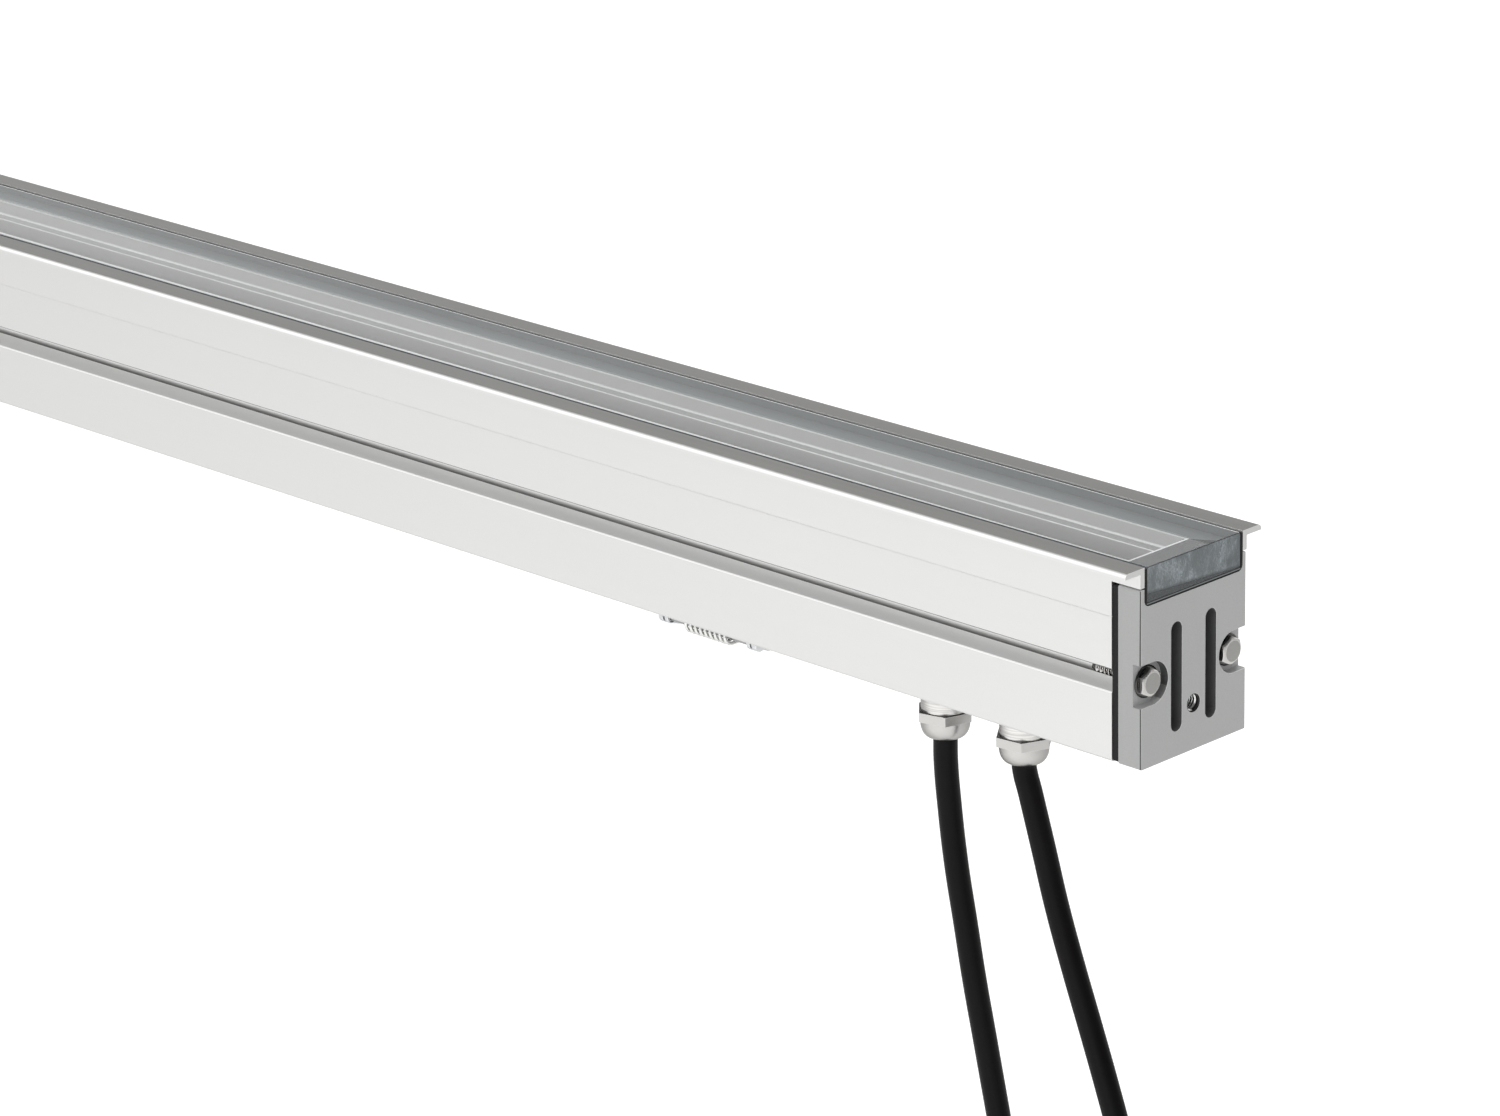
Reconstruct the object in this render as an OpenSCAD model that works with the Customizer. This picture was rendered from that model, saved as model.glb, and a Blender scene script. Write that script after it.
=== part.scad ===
// Recessed outdoor wall washer light, in millimetres.
// X runs along the body, Y away from the viewer, Z up. The origin is the middle of the plane
// on which the two lips rest on the rim of the recess.

/* [Body] */
// Overall length over both end plates
body_l = 1000; // [700:50:1500]
// Width between the side faces
body_w = 47; // [45:1:56]
// Height from the top of the lips to the underside
body_h = 62; // [60:1:76]
// Thickness of the side walls
wall_t = 1.8; // [1.6:0.1:2.4]
// Thickness of the floor
floor_t = 2.4; // [2:0.2:3]
// Radius of the two lower long edges
edge_r = 1; // [0.4:0.2:1.6]
// Width of the fine line along each side
line_w = 0.5; // [0.3:0.1:0.8]
// Depth of the fine line
line_deep = 0.25; // [0.15:0.05:0.4]
// Distance of the fine line below the top
line_down = 17.1; // [15:0.1:20]

/* [Lips] */
// Overall width over the two lips
lip_w = 60; // [58:1:72]
// Thickness of the lips
lip_t = 1.8; // [1.6:0.1:2.4]
// Radius of the outer top edge of the lips
lip_r = 1.4; // [0.6:0.1:1.5]
// Height of the legs beside the glass at the ends, from the top
leg_h = 6.2; // [5:0.1:7]

/* [Glass] */
// Thickness of the glass
glass_t = 11; // [8:0.5:12]
// Drop of the glass below the top of the lips
glass_drop = 0.2; // [0:0.1:0.5]
// Edge bevel of the glass
glass_bevel = 0.4; // [0.2:0.1:0.6]
// Width of the seal beside the glass
seal_w = 1; // [0.8:0.1:1.4]
// Drop of the side seal below the top of the lips
seal_drop = 0.6; // [0.4:0.1:1]
// Thickness of the seal under the border
bed_t = 0.6; // [0.4:0.1:1]
// Width of the border under the glass along the sides
border_w = 7.8; // [7:0.1:9]
// Width of the border at each end
border_end = 13.9; // [13:0.1:16]
// Thickness of the border
border_t = 0.4; // [0.3:0.1:0.6]
// Radius of the corners of the recess for the glass in the end plates
recess_r = 2; // [1:0.2:2.2]

/* [Light chamber] */
// Depth of the top of the cooling web
web_down = 30; // [29:0.5:32]
// Thickness of the cooling web
web_t = 3; // [2.4:0.2:3.4]
// Thickness of the ledges that carry the glass
ledge_t = 2.4; // [2:0.2:3]
// Thickness of the reflector rails
rail_t = 0.8; // [0.6:0.1:1]
// Height of the upper wall of the reflector
rail_upper_h = 5; // [4:0.2:6]
// Width of the step of the reflector
rail_step_w = 3.5; // [3:0.1:3.6]
// Rim of the circuit boards outside the reflector rails
board_rim = 2.8; // [2.4:0.1:3.2]
// Thickness of the circuit boards
board_t = 1.6; // [1.2:0.2:2]
// Distance between neighbouring LEDs
led_pitch = 30; // [20:5:60]
// Side of one LED
led_side = 3; // [2:0.2:3.4]
// Height of one LED
led_h = 0.7; // [0.5:0.1:1]
// Gap between the lens bar and the reflector on each side
lens_gap = 1.4; // [1:0.1:2]
// Height of the foot of the lens bar
lens_foot_h = 2.5; // [2:0.1:3]
// Width of the shoulder beside the round top of the lens bar
lens_shoulder = 3; // [2:0.1:3.4]
// Distance of the lens bar from the ends of its board
lens_short = 8; // [7:0.5:12]

/* [Side grooves] */
// Depth at which a groove starts on the side face
groove_top = 33.2; // [32.8:0.1:34]
// Depth at which the groove ends on the side face
groove_low = 40.4; // [40:0.1:42]
// Depth of the axis of the screw channel
port_down = 36.4; // [36:0.1:37]
// Distance of the channel's axis from the side face
port_in = 5.6; // [5.2:0.1:6]
// Radius of the screw channel
port_r = 2.2; // [2:0.1:2.3]
// Metal left around the screw channel
port_wall = 1.8; // [1.4:0.1:2.2]

/* [End plates] */
// Thickness of the end plates
plate_t = 8.5; // [7.5:0.5:10]
// Gap between a leg and the prong under it
prong_gap = 0.5; // [0.3:0.1:0.9]
// Radius of the edges of the end plates
plate_r = 0.8; // [0.4:0.1:1.2]
// Width of the two upright slots
slot_w = 4.8; // [4.4:0.1:5.4]
// Depth of the top of the slots
slot_top = 20.2; // [19:0.2:22]
// Height of the lower end of the slots above the underside
slot_low = 7.8; // [6:0.2:10]
// Distance between the slots, middle to middle
slot_gap = 15.2; // [14.6:0.2:15.8]
// How far the slots go into the end plate
slot_deep = 6.5; // [5.5:0.5:6.5]
// Tapping radius of the threaded hole
tap_r = 2.5; // [2:0.1:2.8]
// Radius of the hole's countersunk mouth
tap_mouth_r = 2.95; // [2.85:0.05:3.2]
// Height of the threaded hole's axis above the underside
tap_up = 14.5; // [12:0.5:16]
// How far the threaded hole goes in
tap_deep = 7; // [5:0.5:7]
// Height of the side pockets
pocket_h = 13.2; // [12.4:0.2:13.6]
// How far the side pockets go in
pocket_deep = 2.9; // [2.8:0.1:3.6]
// Thickness of the gaskets
gasket_t = 2.5; // [1.5:0.5:4]
// How far the gaskets stay inside the outline
gasket_in = 0.3; // [0.1:0.1:0.6]

/* [End screws] */
// Length of the shank under the head
screw_l = 19.8; // [16:0.2:26]
// Radius of the flange under the head
screw_flange_r = 5; // [4.8:0.1:5.6]
// Thickness of the flange
screw_flange_t = 0.7; // [0.5:0.1:1]
// Width across the flats of the head
screw_flats = 8; // [7:0.5:8]
// Height of the hexagon
screw_hex_h = 2.1; // [1.6:0.1:2.2]

/* [Glands] */
// Distance of the outer gland from the end of the body
gland_end = 67; // [60:1:90]
// Distance between the two glands
gland_gap = 32.5; // [26:0.5:45]
// Radius of the thread that passes through the floor
gland_thread_r = 6; // [5.5:0.1:6.5]
// Length of the thread above the floor
gland_thread_l = 6.5; // [5.5:0.5:8]
// Radius of the collar under the body
collar_r = 7.5; // [7:0.1:7.8]
// Height of the collar
collar_h = 11.2; // [8:0.2:16]
// Width across the flats of the hexagon
hex_flats = 16; // [15.8:0.1:18]
// Height of the hexagon
hex_h = 3.1; // [2.4:0.1:4]
// Turn of the first gland's hexagon
hex_turn_first = 43; // [0:1:59]
// Turn of the second gland's hexagon
hex_turn_second = 37; // [0:1:59]
// Largest radius of the dome
dome_r = 7.7; // [7.4:0.1:7.8]
// Height of the dome
dome_h = 5.8; // [5:0.2:8]
// Thickness of the sealing ring under the body
ring_t = 0.8; // [0.6:0.1:1.2]
// Width across the flats of the lock nut inside
nut_flats = 17; // [16:0.5:19]
// Thickness of the lock nut
nut_t = 3; // [2.4:0.2:4]

/* [Cables] */
// Diameter of the two cables
cable_d = 7.6; // [6:0.1:8]
// Diameter of the insulated cores
core_d = 2.2; // [1.8:0.1:2.4]
// Length of the cores past the sheath at the far end
core_l = 30; // [20:5:45]
// Diameter of the ferrules on the cores
ferrule_d = 1.4; // [1.2:0.1:1.6]
// Length of the ferrules
ferrule_l = 8; // [6:1:12]

/* [Catches] */
// Distance of each catch from its end of the body
catch_end = 201; // [160:1:260]
// Distance of the pin's axis below the underside
pin_drop = 11.3; // [9.8:0.1:12]
// Radius of the pin
pin_r = 1.5; // [1.3:0.1:1.5]
// Radius of the pin's heads
pin_head_r = 2.1; // [2:0.1:2.4]
// Thickness of the pin's heads
pin_head_t = 0.8; // [0.6:0.1:1.2]
// Thickness of the bracket's sheet
bracket_t = 1.5; // [1.2:0.1:1.8]
// Width of the bracket along the body
bracket_l = 43; // [42:1:48]
// Reach of the bracket's foot to the viewer's side of the pin
foot_near = 7; // [6:0.5:9]
// Reach of the bracket's foot to the far side of the pin
foot_far = 17; // [16.5:0.5:20]
// Radius of the bracket's eyes
eye_r = 2.1; // [2:0.1:2.6]
// Radius of the bracket screws' shanks
foot_screw_r = 1.6; // [1.2:0.1:1.8]
// Radius of the bracket screws' heads
foot_head_r = 3.2; // [2.8:0.1:3.4]
// Height of the bracket screws' heads
foot_head_h = 1.8; // [1.2:0.1:2.4]
// Distance between the bracket screws
foot_screw_gap = 28; // [27:0.5:28.5]
// Distance of the bracket screws past the pin
foot_screw_far = 12; // [11:0.5:13]
// Thickness of the catch's sheet
catch_t = 1.2; // [1:0.1:1.5]
// Reach of the catch from its pin
catch_reach = 33; // [32:0.5:36]
// Start of the catch's plate past its pin
catch_start = 6; // [5:0.5:8]
// Height of the catch's upright part above the pin
catch_rise = 20; // [16:1:22]
// Width of the catch's upright part
catch_up_l = 26; // [16:1:32]
// Reach of the sloping nose
nose_reach = 4; // [2.5:0.5:5]
// Thickness of the catch's ears
ear_t = 1.5; // [1:0.1:1.8]
// Running clearance between the ears and the pin
pin_gap = 0.06; // [0.03:0.01:0.09]

/* [Springs] */
// Outer radius of the coil
coil_r = 3; // [2.8:0.1:3]
// Diameter of the spring wire
wire_d = 1.2; // [1:0.1:1.2]
// Distance from one curl to the next
coil_pitch = 2.2; // [2:0.1:2.4]
// Number of whole curls
coil_turns = 8; // [6:1:9]
// Length of the leg that presses on the catch
leg_catch_l = 13; // [10:1:18]

/* [Gear inside] */
// Length of the driver
driver_l = 220; // [160:10:240]
// Width of the driver
driver_w = 30; // [26:1:36]
// Air between the driver and the metal around the screw channels
driver_head = 2.4; // [1:0.2:4]
// Thickness of the driver's lid
driver_lid_t = 1.6; // [1:0.2:2]
// Length of the terminal block
block_l = 30; // [26:1:40]
// Width of the terminal block
block_w = 26; // [24:1:30]
// Height of the terminal block
block_h = 13; // [12:0.5:15]
// Distance of the terminal block from the inner gland
block_off = 46; // [40:1:60]
// Distance of the driver from the terminal block
driver_off = 55; // [30:5:70]
// Radius of the terminal screws
block_screw_r = 1.5; // [1:0.1:1.8]
// Diameter of the leads to the LEDs
lead_d = 1.6; // [1.2:0.1:1.8]
// Distance of the plug on the boards from the driver
plug_off = 28.5; // [15:0.5:40]

/* [Hidden] */
$fn = 48;
// Overrun of every cut
cut = 1;
// Slack between pieces that slide into one another
slack = 0.1;
// Air left between faces that pass each other
air = 0.4;

// Heights: a depth is measured down from the top of the lips
top_z = lip_t;
function down(d) = top_z - d;
half_l = body_l/2;
half_w = body_w/2;
bottom_z = down(body_h);
floor_z = bottom_z + floor_t;
side_in = half_w - wall_t;
glass_w = body_w - 2*wall_t - 2*seal_w;
border_down = glass_drop + glass_t;
bed_down = border_down + border_t;
seat_down = bed_down + bed_t;
window = glass_w/2 - border_w;
shell_half = half_l - plate_t - gasket_t;

// Reflector and boards
rail_out = window + rail_t;
rail_low_in = window - rail_step_w;
step_down = seat_down + rail_upper_h;
board_down = web_down - board_t;
end_rail_t = rail_t*2;
rail_half = half_l - border_end;
board_gap = 1;
board_w = 2*(rail_low_in + rail_t + board_rim);
board_l = rail_half - end_rail_t - board_gap*2;
board_mid = board_gap/2 + board_l/2;
led_count = floor((board_l - 2*lens_short)/led_pitch);
led_air = 0.8;
led_slot_w = led_side + 2*led_air;
led_slot_h = led_h + 3*slack;
lens_l = board_l - 2*lens_short;
lens_w = 2*(rail_low_in - lens_gap);
lens_r = lens_w/2 - lens_shoulder;
board_screw_r = 1.25;
board_screw_head_r = 2.2;
board_screw_head_h = 1.4;
board_screw_sink = 2;

// Side grooves
screw_r = port_r - slack;
port_y = half_w - port_in;
port_z = down(port_down);
mouth_angle = 20;
boss_y = port_y - port_r - port_wall;

// End plates
plate_top = leg_h + prong_gap;
plate_x = half_l - plate_t;
pocket_x = half_l - pocket_deep;
tap_z = bottom_z + tap_up;
slot_h = body_h - slot_top - slot_low;
slot_mid = down(slot_top) - slot_h/2;

// Glands and cables
gland_x = [half_l - gland_end - gland_gap, half_l - gland_end];
collar_z = bottom_z - ring_t;
hex_z = collar_z - collar_h;
dome_z = hex_z - hex_h;
exit_z = dome_z - dome_h;
cable_r = cable_d/2;
seal_rubber_t = 0.5;
dome_rim_t = 0.4;
gland_bore_r = cable_r + seal_rubber_t;
dome_mouth_r = gland_bore_r + dome_rim_t;
dome_straight = dome_h/4;
hex_turns = [hex_turn_first, hex_turn_second];
sheath_past_thread = 4;
inner_end_z = floor_z + gland_thread_l + sheath_past_thread;
sheath_sides = 12;
core_ring_share = 0.62;
core_spots = [for (a = [90, 210, 330]) [cos(a), sin(a)]*core_d*core_ring_share];

// Catches
catch_x = half_l - catch_end;
pin_z = bottom_z - pin_drop;
foot_z = bottom_z - bracket_t;
foot_rel = foot_z - pin_z;
cheek_x = bracket_l/2 - bracket_t;
ear_x = cheek_x - air*2 - ear_t;
coil_mid_r = coil_r - wire_d/2;
coil_start = 180;
coil_end = 270;
coil_total = coil_turns + (coil_end - coil_start)/360;
coil_half = coil_total*coil_pitch/2;
blade_air = 0.15;
blade_rel = -coil_r - blade_air;

// Gear inside
web_low_z = down(web_down + web_t);
boss_low = down(groove_low) - port_wall;
driver_h = boss_low - floor_z - driver_head;
block_x = gland_x[0] - block_off;
driver_x = block_x - block_l - driver_off - driver_l;
driver_screw_r = 1.4;
driver_screw_in = 6;
block_ways = 3;
block_pitch = block_w/block_ways;
block_hole_r = core_d/2 + slack;
block_hole_deep = block_l/4;
block_hole_shares = [0.3, 0.68];
block_hole_zs = [for (share = block_hole_shares) floor_z + block_h*share];
block_step_h = block_h/6;
link_share = 0.72;
link_z = inner_end_z + link_share*(web_low_z - inner_end_z);

// Plug on the rim of a board, beside a rail, and the leads that come up to it
plug_l = 10;
plug_h = 4;
plug_w = board_rim - 2*slack;
plug_x = driver_x - plug_off - plug_l;
plug_y = board_w/2 - plug_w/2 - slack;
plug_ways = [1/4, 3/4];

// Routes of the two cables from the mouth of their gland, and the ends that hang free
supply_route = [
    [0, 0, 0], [0, 0, -8], [1.5, 0, -24], [4, 0, -42], [7.5, 0, -60], [11, 0, -78],
    [14.5, 0.5, -96], [18, 1, -114], [21.5, 1.5, -132], [24.5, 2.5, -150], [27.5, 3.5, -168],
    [30, 4.5, -186], [32, 5.5, -204], [33.5, 6, -222], [34.5, 6.5, -240], [35, 6.5, -258],
    [35, 6.5, -276], [34.5, 6, -294], [33.5, 5.5, -312], [32.5, 5, -330], [32, 5, -346],
    [32, 5, -354]
];
link_route = [
    [0, 0, 0], [0, 0, -2], [2.5, 0, -10], [7.5, 0, -26], [13, 0, -44], [19.5, 0, -62],
    [26.5, 0, -80], [33.5, -0.5, -97], [40, -1, -114], [46, -2, -132], [51, -3, -150],
    [55.5, -4, -168], [59, -5, -186], [62, -6, -204], [64.5, -6.5, -222], [66, -7, -240],
    [67, -7.5, -258], [67, -7.5, -276], [66.5, -7.5, -294], [65.5, -7, -312], [64.5, -6.5, -330],
    [64, -6.5, -346], [64, -6.5, -354]
];

// Small helpers

// Unit vector along v
function unit(v) = v/norm(v);

// Direction of a path at point i
function heading(path, i) =
    let (n = len(path) - 1)
    i == 0 ? unit(path[1] - path[0])
    : i == n ? unit(path[n] - path[n - 1])
    : unit(unit(path[i + 1] - path[i]) + unit(path[i] - path[i - 1]));

// One ring of a tube, square to the path, with its first corner set by the vector up
function ring_at(path, i, r, sides, up) =
    let (t = heading(path, i), u = unit(cross(t, up)), v = cross(t, u))
    [for (k = [0:sides - 1]) path[i] + r*(cos(360*k/sides)*u + sin(360*k/sides)*v)];

// A closed tube swept along a path
module tube(path, r, sides, up) {
    n = len(path);
    points = [for (i = [0:n - 1]) each ring_at(path, i, r, sides, up)];
    last = (n - 1)*sides;
    ends = [
        for (k = [1:sides - 2])
            each [[0, k, k + 1], [last, last + k + 1, last + k]]
    ];
    walls = [
        for (i = [0:n - 2]) for (k = [0:sides - 1])
            let (a = i*sides + k, b = i*sides + (k + 1)%sides)
            each [[a, a + sides, b + sides], [a, b + sides, b]]
    ];
    polyhedron(points, concat(ends, walls), convexity = 10);
}

// A profile drawn in Y and Z, run along X from x0 to x1
module along(x0, x1) {
    translate([x0, 0, 0])
        rotate([90, 0, 90])
            linear_extrude(x1 - x0)
                children();
}

// Both a shape and its mirror image across the middle of the width
module both_sides() {
    children();
    mirror([1, 0, 0])
        children();
}

// A rectangle from one corner to the other, in Y and depth
module patch(y0, y1, d0, d1) {
    translate([y0, down(d1)])
        square([y1 - y0, d1 - d0]);
}

// Cylinder along X
module rod_x(x0, x1, r) {
    translate([x0, 0, 0])
        rotate([0, 90, 0])
            cylinder(h = x1 - x0, r = r);
}

// Hexagonal prism standing on z, given across its flats
module hexagon(flats, h) {
    cylinder(h = h, r = flats/2/cos(30), $fn = 6);
}

// Housing

// Lip and leg on the positive side, with the round outer edge
module lip_profile() {
    turn_y = lip_w/2 - lip_r;
    patch(side_in, turn_y, 0, lip_t);
    patch(turn_y, lip_w/2, lip_r, lip_t);
    intersection() {
        translate([turn_y, down(lip_r)])
            circle(r = lip_r);
        patch(turn_y, lip_w/2, 0, lip_r);
    }
    patch(side_in, half_w, 0, leg_h);
}

// Groove on the positive side with its open screw channel
module groove_profile() {
    low_y = port_y + port_r*cos(mouth_angle);
    low_z = port_z - port_r*sin(mouth_angle);
    translate([port_y, port_z])
        circle(r = port_r);
    polygon([
        [half_w + cut, down(groove_top)],
        [port_y, port_z + port_r],
        [port_y, port_z],
        [low_y, low_z],
        [half_w, down(groove_low)],
        [half_w + cut, down(groove_low)]
    ]);
}

// Fine line on the positive side
module line_profile() {
    polygon([
        [half_w + line_deep, down(line_down - line_w)],
        [half_w + line_deep, down(line_down + line_w)],
        [half_w - line_deep, down(line_down)]
    ]);
}

// Closed lower part of the shell
module shell_profile() {
    difference() {
        union() {
            patch(-half_w, half_w, lip_t, body_h - edge_r);
            patch(edge_r - half_w, half_w - edge_r, lip_t, body_h);
            both_sides()
                translate([half_w - edge_r, bottom_z + edge_r])
                    circle(r = edge_r);
        }
        patch(-side_in, side_in, 0, seat_down);
        patch(-rail_out - slack, rail_out + slack, 0, seat_down + ledge_t);
        patch(-side_in, side_in, seat_down + ledge_t, web_down);
        chamber_profile();
        both_sides() {
            groove_profile();
            line_profile();
        }
    }
}

// Lower chamber, clear of the metal around the screw channels
module chamber_profile() {
    polygon([
        [-boss_y, web_low_z],
        [boss_y, web_low_z],
        [boss_y, port_z - port_r],
        [side_in, boss_low],
        [side_in, floor_z],
        [-side_in, floor_z],
        [-side_in, boss_low],
        [-boss_y, port_z - port_r]
    ]);
}

module housing() {
    color("silver")
        difference() {
            union() {
                along(-half_l, half_l)
                    both_sides()
                        lip_profile();
                along(-shell_half, shell_half)
                    shell_profile();
            }
            for (x = gland_x)
                translate([x, 0, bottom_z - cut])
                    cylinder(h = floor_t + 2*cut, r = gland_thread_r + slack);
            for (x = [-catch_x, catch_x])
                at_bracket_screws(x)
                    translate([0, 0, bottom_z - cut])
                        cylinder(h = floor_t + 2*cut, r = foot_screw_r);
            at_board_screws()
                translate([0, 0, web_low_z - cut])
                    cylinder(h = web_t + 2*cut, r = board_screw_r);
            at_plug_leads()
                translate([0, 0, web_low_z - cut])
                    cylinder(h = web_t + 2*cut, r = lead_d/2 + slack);
        }
}

// Glass and what lies under it

module glass() {
    b = glass_bevel;
    y = glass_w/2;
    color("lightcyan", 0.4)
        along(-half_l, half_l)
            polygon([
                [-y + b, down(glass_drop)], [y - b, down(glass_drop)],
                [y, down(glass_drop + b)], [y, down(border_down - b)],
                [y - b, down(border_down)], [-y + b, down(border_down)],
                [-y, down(border_down - b)], [-y, down(glass_drop + b)]
            ]);
}

module glass_border() {
    color("lightslategray")
        translate([0, 0, down(bed_down)])
            linear_extrude(border_t)
                difference() {
                    square([body_l, glass_w], center = true);
                    square([2*rail_half, 2*window], center = true);
                }
}

// Outline of the recess that the glass and its seal lie in, from the top down to the seat
module recess_profile(up) {
    patch(-side_in, side_in, -up, seat_down - recess_r);
    patch(recess_r - side_in, side_in - recess_r, -up, seat_down);
    both_sides()
        translate([side_in - recess_r, down(seat_down - recess_r)])
            circle(r = recess_r);
}

module glass_seal() {
    color("black") {
        along(-rail_half, rail_half)
            both_sides() {
                patch(side_in - seal_w, side_in, seal_drop, seat_down);
                patch(window, side_in, bed_down, seat_down);
            }
        for (side = [0, 1])
            mirror([side, 0, 0])
                along(rail_half, half_l)
                    difference() {
                        recess_profile(-seal_drop);
                        patch(-glass_w/2, glass_w/2, 0, bed_down);
                    }
    }
}

// Light chamber

module reflector_rails() {
    color("whitesmoke")
        along(-rail_half + end_rail_t, rail_half - end_rail_t)
            both_sides()
                polygon([
                    [window, down(seat_down)],
                    [rail_out, down(seat_down)],
                    [rail_out, down(step_down + rail_t)],
                    [rail_low_in + rail_t, down(step_down + rail_t)],
                    [rail_low_in + rail_t, down(board_down)],
                    [rail_low_in, down(board_down)],
                    [rail_low_in, down(step_down)],
                    [window, down(step_down)]
                ]);
}

module reflector_ends() {
    color("whitesmoke")
        for (side = [0, 1])
            mirror([side, 0, 0])
                along(rail_half - end_rail_t, rail_half) {
                    patch(-rail_out, rail_out, seat_down, step_down + rail_t);
                    patch(-rail_low_in - rail_t, rail_low_in + rail_t, step_down, board_down);
                }
}

// Places of the board screws, between the ends of each board and its lens bar
module at_board_screws() {
    for (x = [-board_mid, board_mid])
        for (side = [-1, 1])
            translate([x + side*(board_l - lens_short)/2, 0, 0])
                children();
}

// Places of the two leads that pass up through the web and a board
module at_plug_leads() {
    for (share = plug_ways)
        translate([plug_x + share*plug_l, plug_y, 0])
            children();
}

module led_boards() {
    color("white")
        difference() {
            for (x = [-board_mid, board_mid])
                translate([x - board_l/2, -board_w/2, down(web_down)])
                    cube([board_l, board_w, board_t]);
            at_board_screws()
                translate([0, 0, down(web_down) - cut])
                    cylinder(h = board_t + 2*cut, r = board_screw_r + slack);
            at_plug_leads()
                translate([0, 0, down(web_down) - cut])
                    cylinder(h = board_t + 2*cut, r = lead_d/2 + slack);
        }
}

module led_chips() {
    color("gold")
        for (x = [-board_mid, board_mid])
            for (i = [0:led_count - 1])
                translate([
                    x + (i - (led_count - 1)/2)*led_pitch - led_side/2,
                    -led_side/2,
                    down(board_down)
                ])
                    cube([led_side, led_side, led_h]);
}

module lens_bars() {
    foot_top = down(board_down) + lens_foot_h;
    color("lightcyan", 0.5)
        for (x = [-board_mid, board_mid])
            along(x - lens_l/2, x + lens_l/2)
                difference() {
                    union() {
                        translate([-lens_w/2, down(board_down)])
                            square([lens_w, lens_foot_h]);
                        intersection() {
                            translate([0, foot_top])
                                circle(r = lens_r);
                            translate([-lens_r, foot_top])
                                square([2*lens_r, lens_r]);
                        }
                    }
                    translate([-led_slot_w/2, down(board_down) - cut])
                        square([led_slot_w, led_slot_h + cut]);
                }
}

module board_screws() {
    color("gainsboro")
        at_board_screws() {
            translate([0, 0, down(web_down) - board_screw_sink])
                cylinder(h = board_t + board_screw_sink, r = board_screw_r);
            translate([0, 0, down(board_down)])
                cylinder(h = board_screw_head_h, r = board_screw_head_r);
        }
}

module board_plug() {
    color("ivory")
        translate([plug_x, plug_y - plug_w/2, down(board_down)])
            cube([plug_l, plug_w, plug_h]);
}

// Two leads from the end of the driver up through the web to the plug
module led_leads() {
    color("firebrick")
        for (i = [0, 1])
            let (
                x = plug_x + plug_ways[i]*plug_l,
                low = floor_z + driver_h*(i + 1)/4
            )
            tube(
                [
                    [driver_x, plug_y, low],
                    [driver_x - 2*lead_d, plug_y, low],
                    [x + 2*lead_d, plug_y, low],
                    [x, plug_y, low + 2*lead_d],
                    [x, plug_y, web_low_z],
                    [x, plug_y, down(board_down)]
                ],
                lead_d/2, 6, [0, 1, 0]
            );
}

// End plates

// Outline of the end plate, drawn in by the margin
module plate_profile(inset, top) {
    y = half_w - inset;
    r = plate_r;
    difference() {
        union() {
            patch(-y, y, top + inset + r, body_h - inset - r);
            patch(r - y, y - r, top + inset, body_h - inset);
            both_sides() {
                translate([y - r, down(body_h - inset - r)])
                    circle(r = r);
                translate([y - r, down(top + inset + r)])
                    circle(r = r);
            }
        }
        recess_profile(cut);
    }
}

module slot_profile() {
    r = slot_w/2;
    translate([0, slot_mid])
        square([slot_w, slot_h - slot_w], center = true);
    for (side = [-1, 1])
        translate([0, slot_mid + side*(slot_h/2 - r)])
            circle(r = r);
}

module end_plate() {
    r = plate_r;
    difference() {
        intersection() {
            along(plate_x, half_l)
                plate_profile(0, plate_top);
            translate([0, 0, bottom_z - cut])
                linear_extrude(body_h + 2*cut)
                    union() {
                        translate([plate_x - cut, -half_w])
                            square([plate_t + cut - r, body_w]);
                        translate([plate_x, r - half_w])
                            square([plate_t, body_w - 2*r]);
                        for (side = [-1, 1])
                            translate([half_l - r, side*(half_w - r)])
                                circle(r = r);
                    }
        }
        along(half_l - slot_deep, half_l + cut)
            both_sides()
                translate([slot_gap/2, 0])
                    slot_profile();
        along(pocket_x, half_l + cut)
            both_sides() {
                translate([port_y, port_z])
                    circle(r = pocket_h/2);
                translate([port_y, port_z - pocket_h/2])
                    square([port_in + cut, pocket_h]);
            }
        for (side = [-1, 1])
            translate([0, side*port_y, port_z])
                rod_x(plate_x - cut, half_l, screw_r + slack);
        translate([0, 0, tap_z]) {
            rod_x(half_l - tap_deep, half_l + cut, tap_r);
            translate([half_l - (tap_mouth_r - tap_r), 0, 0])
                rotate([0, 90, 0])
                    cylinder(h = tap_mouth_r - tap_r, r1 = tap_r, r2 = tap_mouth_r);
        }
    }
}

module end_plate_right() {
    color("darkgray")
        end_plate();
}

module end_plate_left() {
    color("darkgray")
        mirror([1, 0, 0])
            end_plate();
}

module end_gasket() {
    difference() {
        along(shell_half, plate_x)
            plate_profile(gasket_in, plate_top);
        for (side = [-1, 1])
            translate([0, side*port_y, port_z])
                rod_x(shell_half - cut, plate_x + cut, screw_r + slack);
    }
}

module end_gasket_right() {
    color("#222222")
        end_gasket();
}

module end_gasket_left() {
    color("#222222")
        mirror([1, 0, 0])
            end_gasket();
}

module end_screws() {
    for (side = [-1, 1])
        translate([0, side*port_y, port_z]) {
            rod_x(pocket_x - screw_l, pocket_x, screw_r);
            rod_x(pocket_x, pocket_x + screw_flange_t, screw_flange_r);
            translate([pocket_x + screw_flange_t, 0, 0])
                rotate([0, 90, 0])
                    hexagon(screw_flats, screw_hex_h);
        }
}

module end_screws_right() {
    color("gainsboro")
        end_screws();
}

module end_screws_left() {
    color("gainsboro")
        mirror([1, 0, 0])
            end_screws();
}

// Gear inside

module driver_case() {
    color("white")
        translate([driver_x, -driver_w/2, floor_z])
            cube([driver_l, driver_w, driver_h - driver_lid_t]);
}

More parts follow.
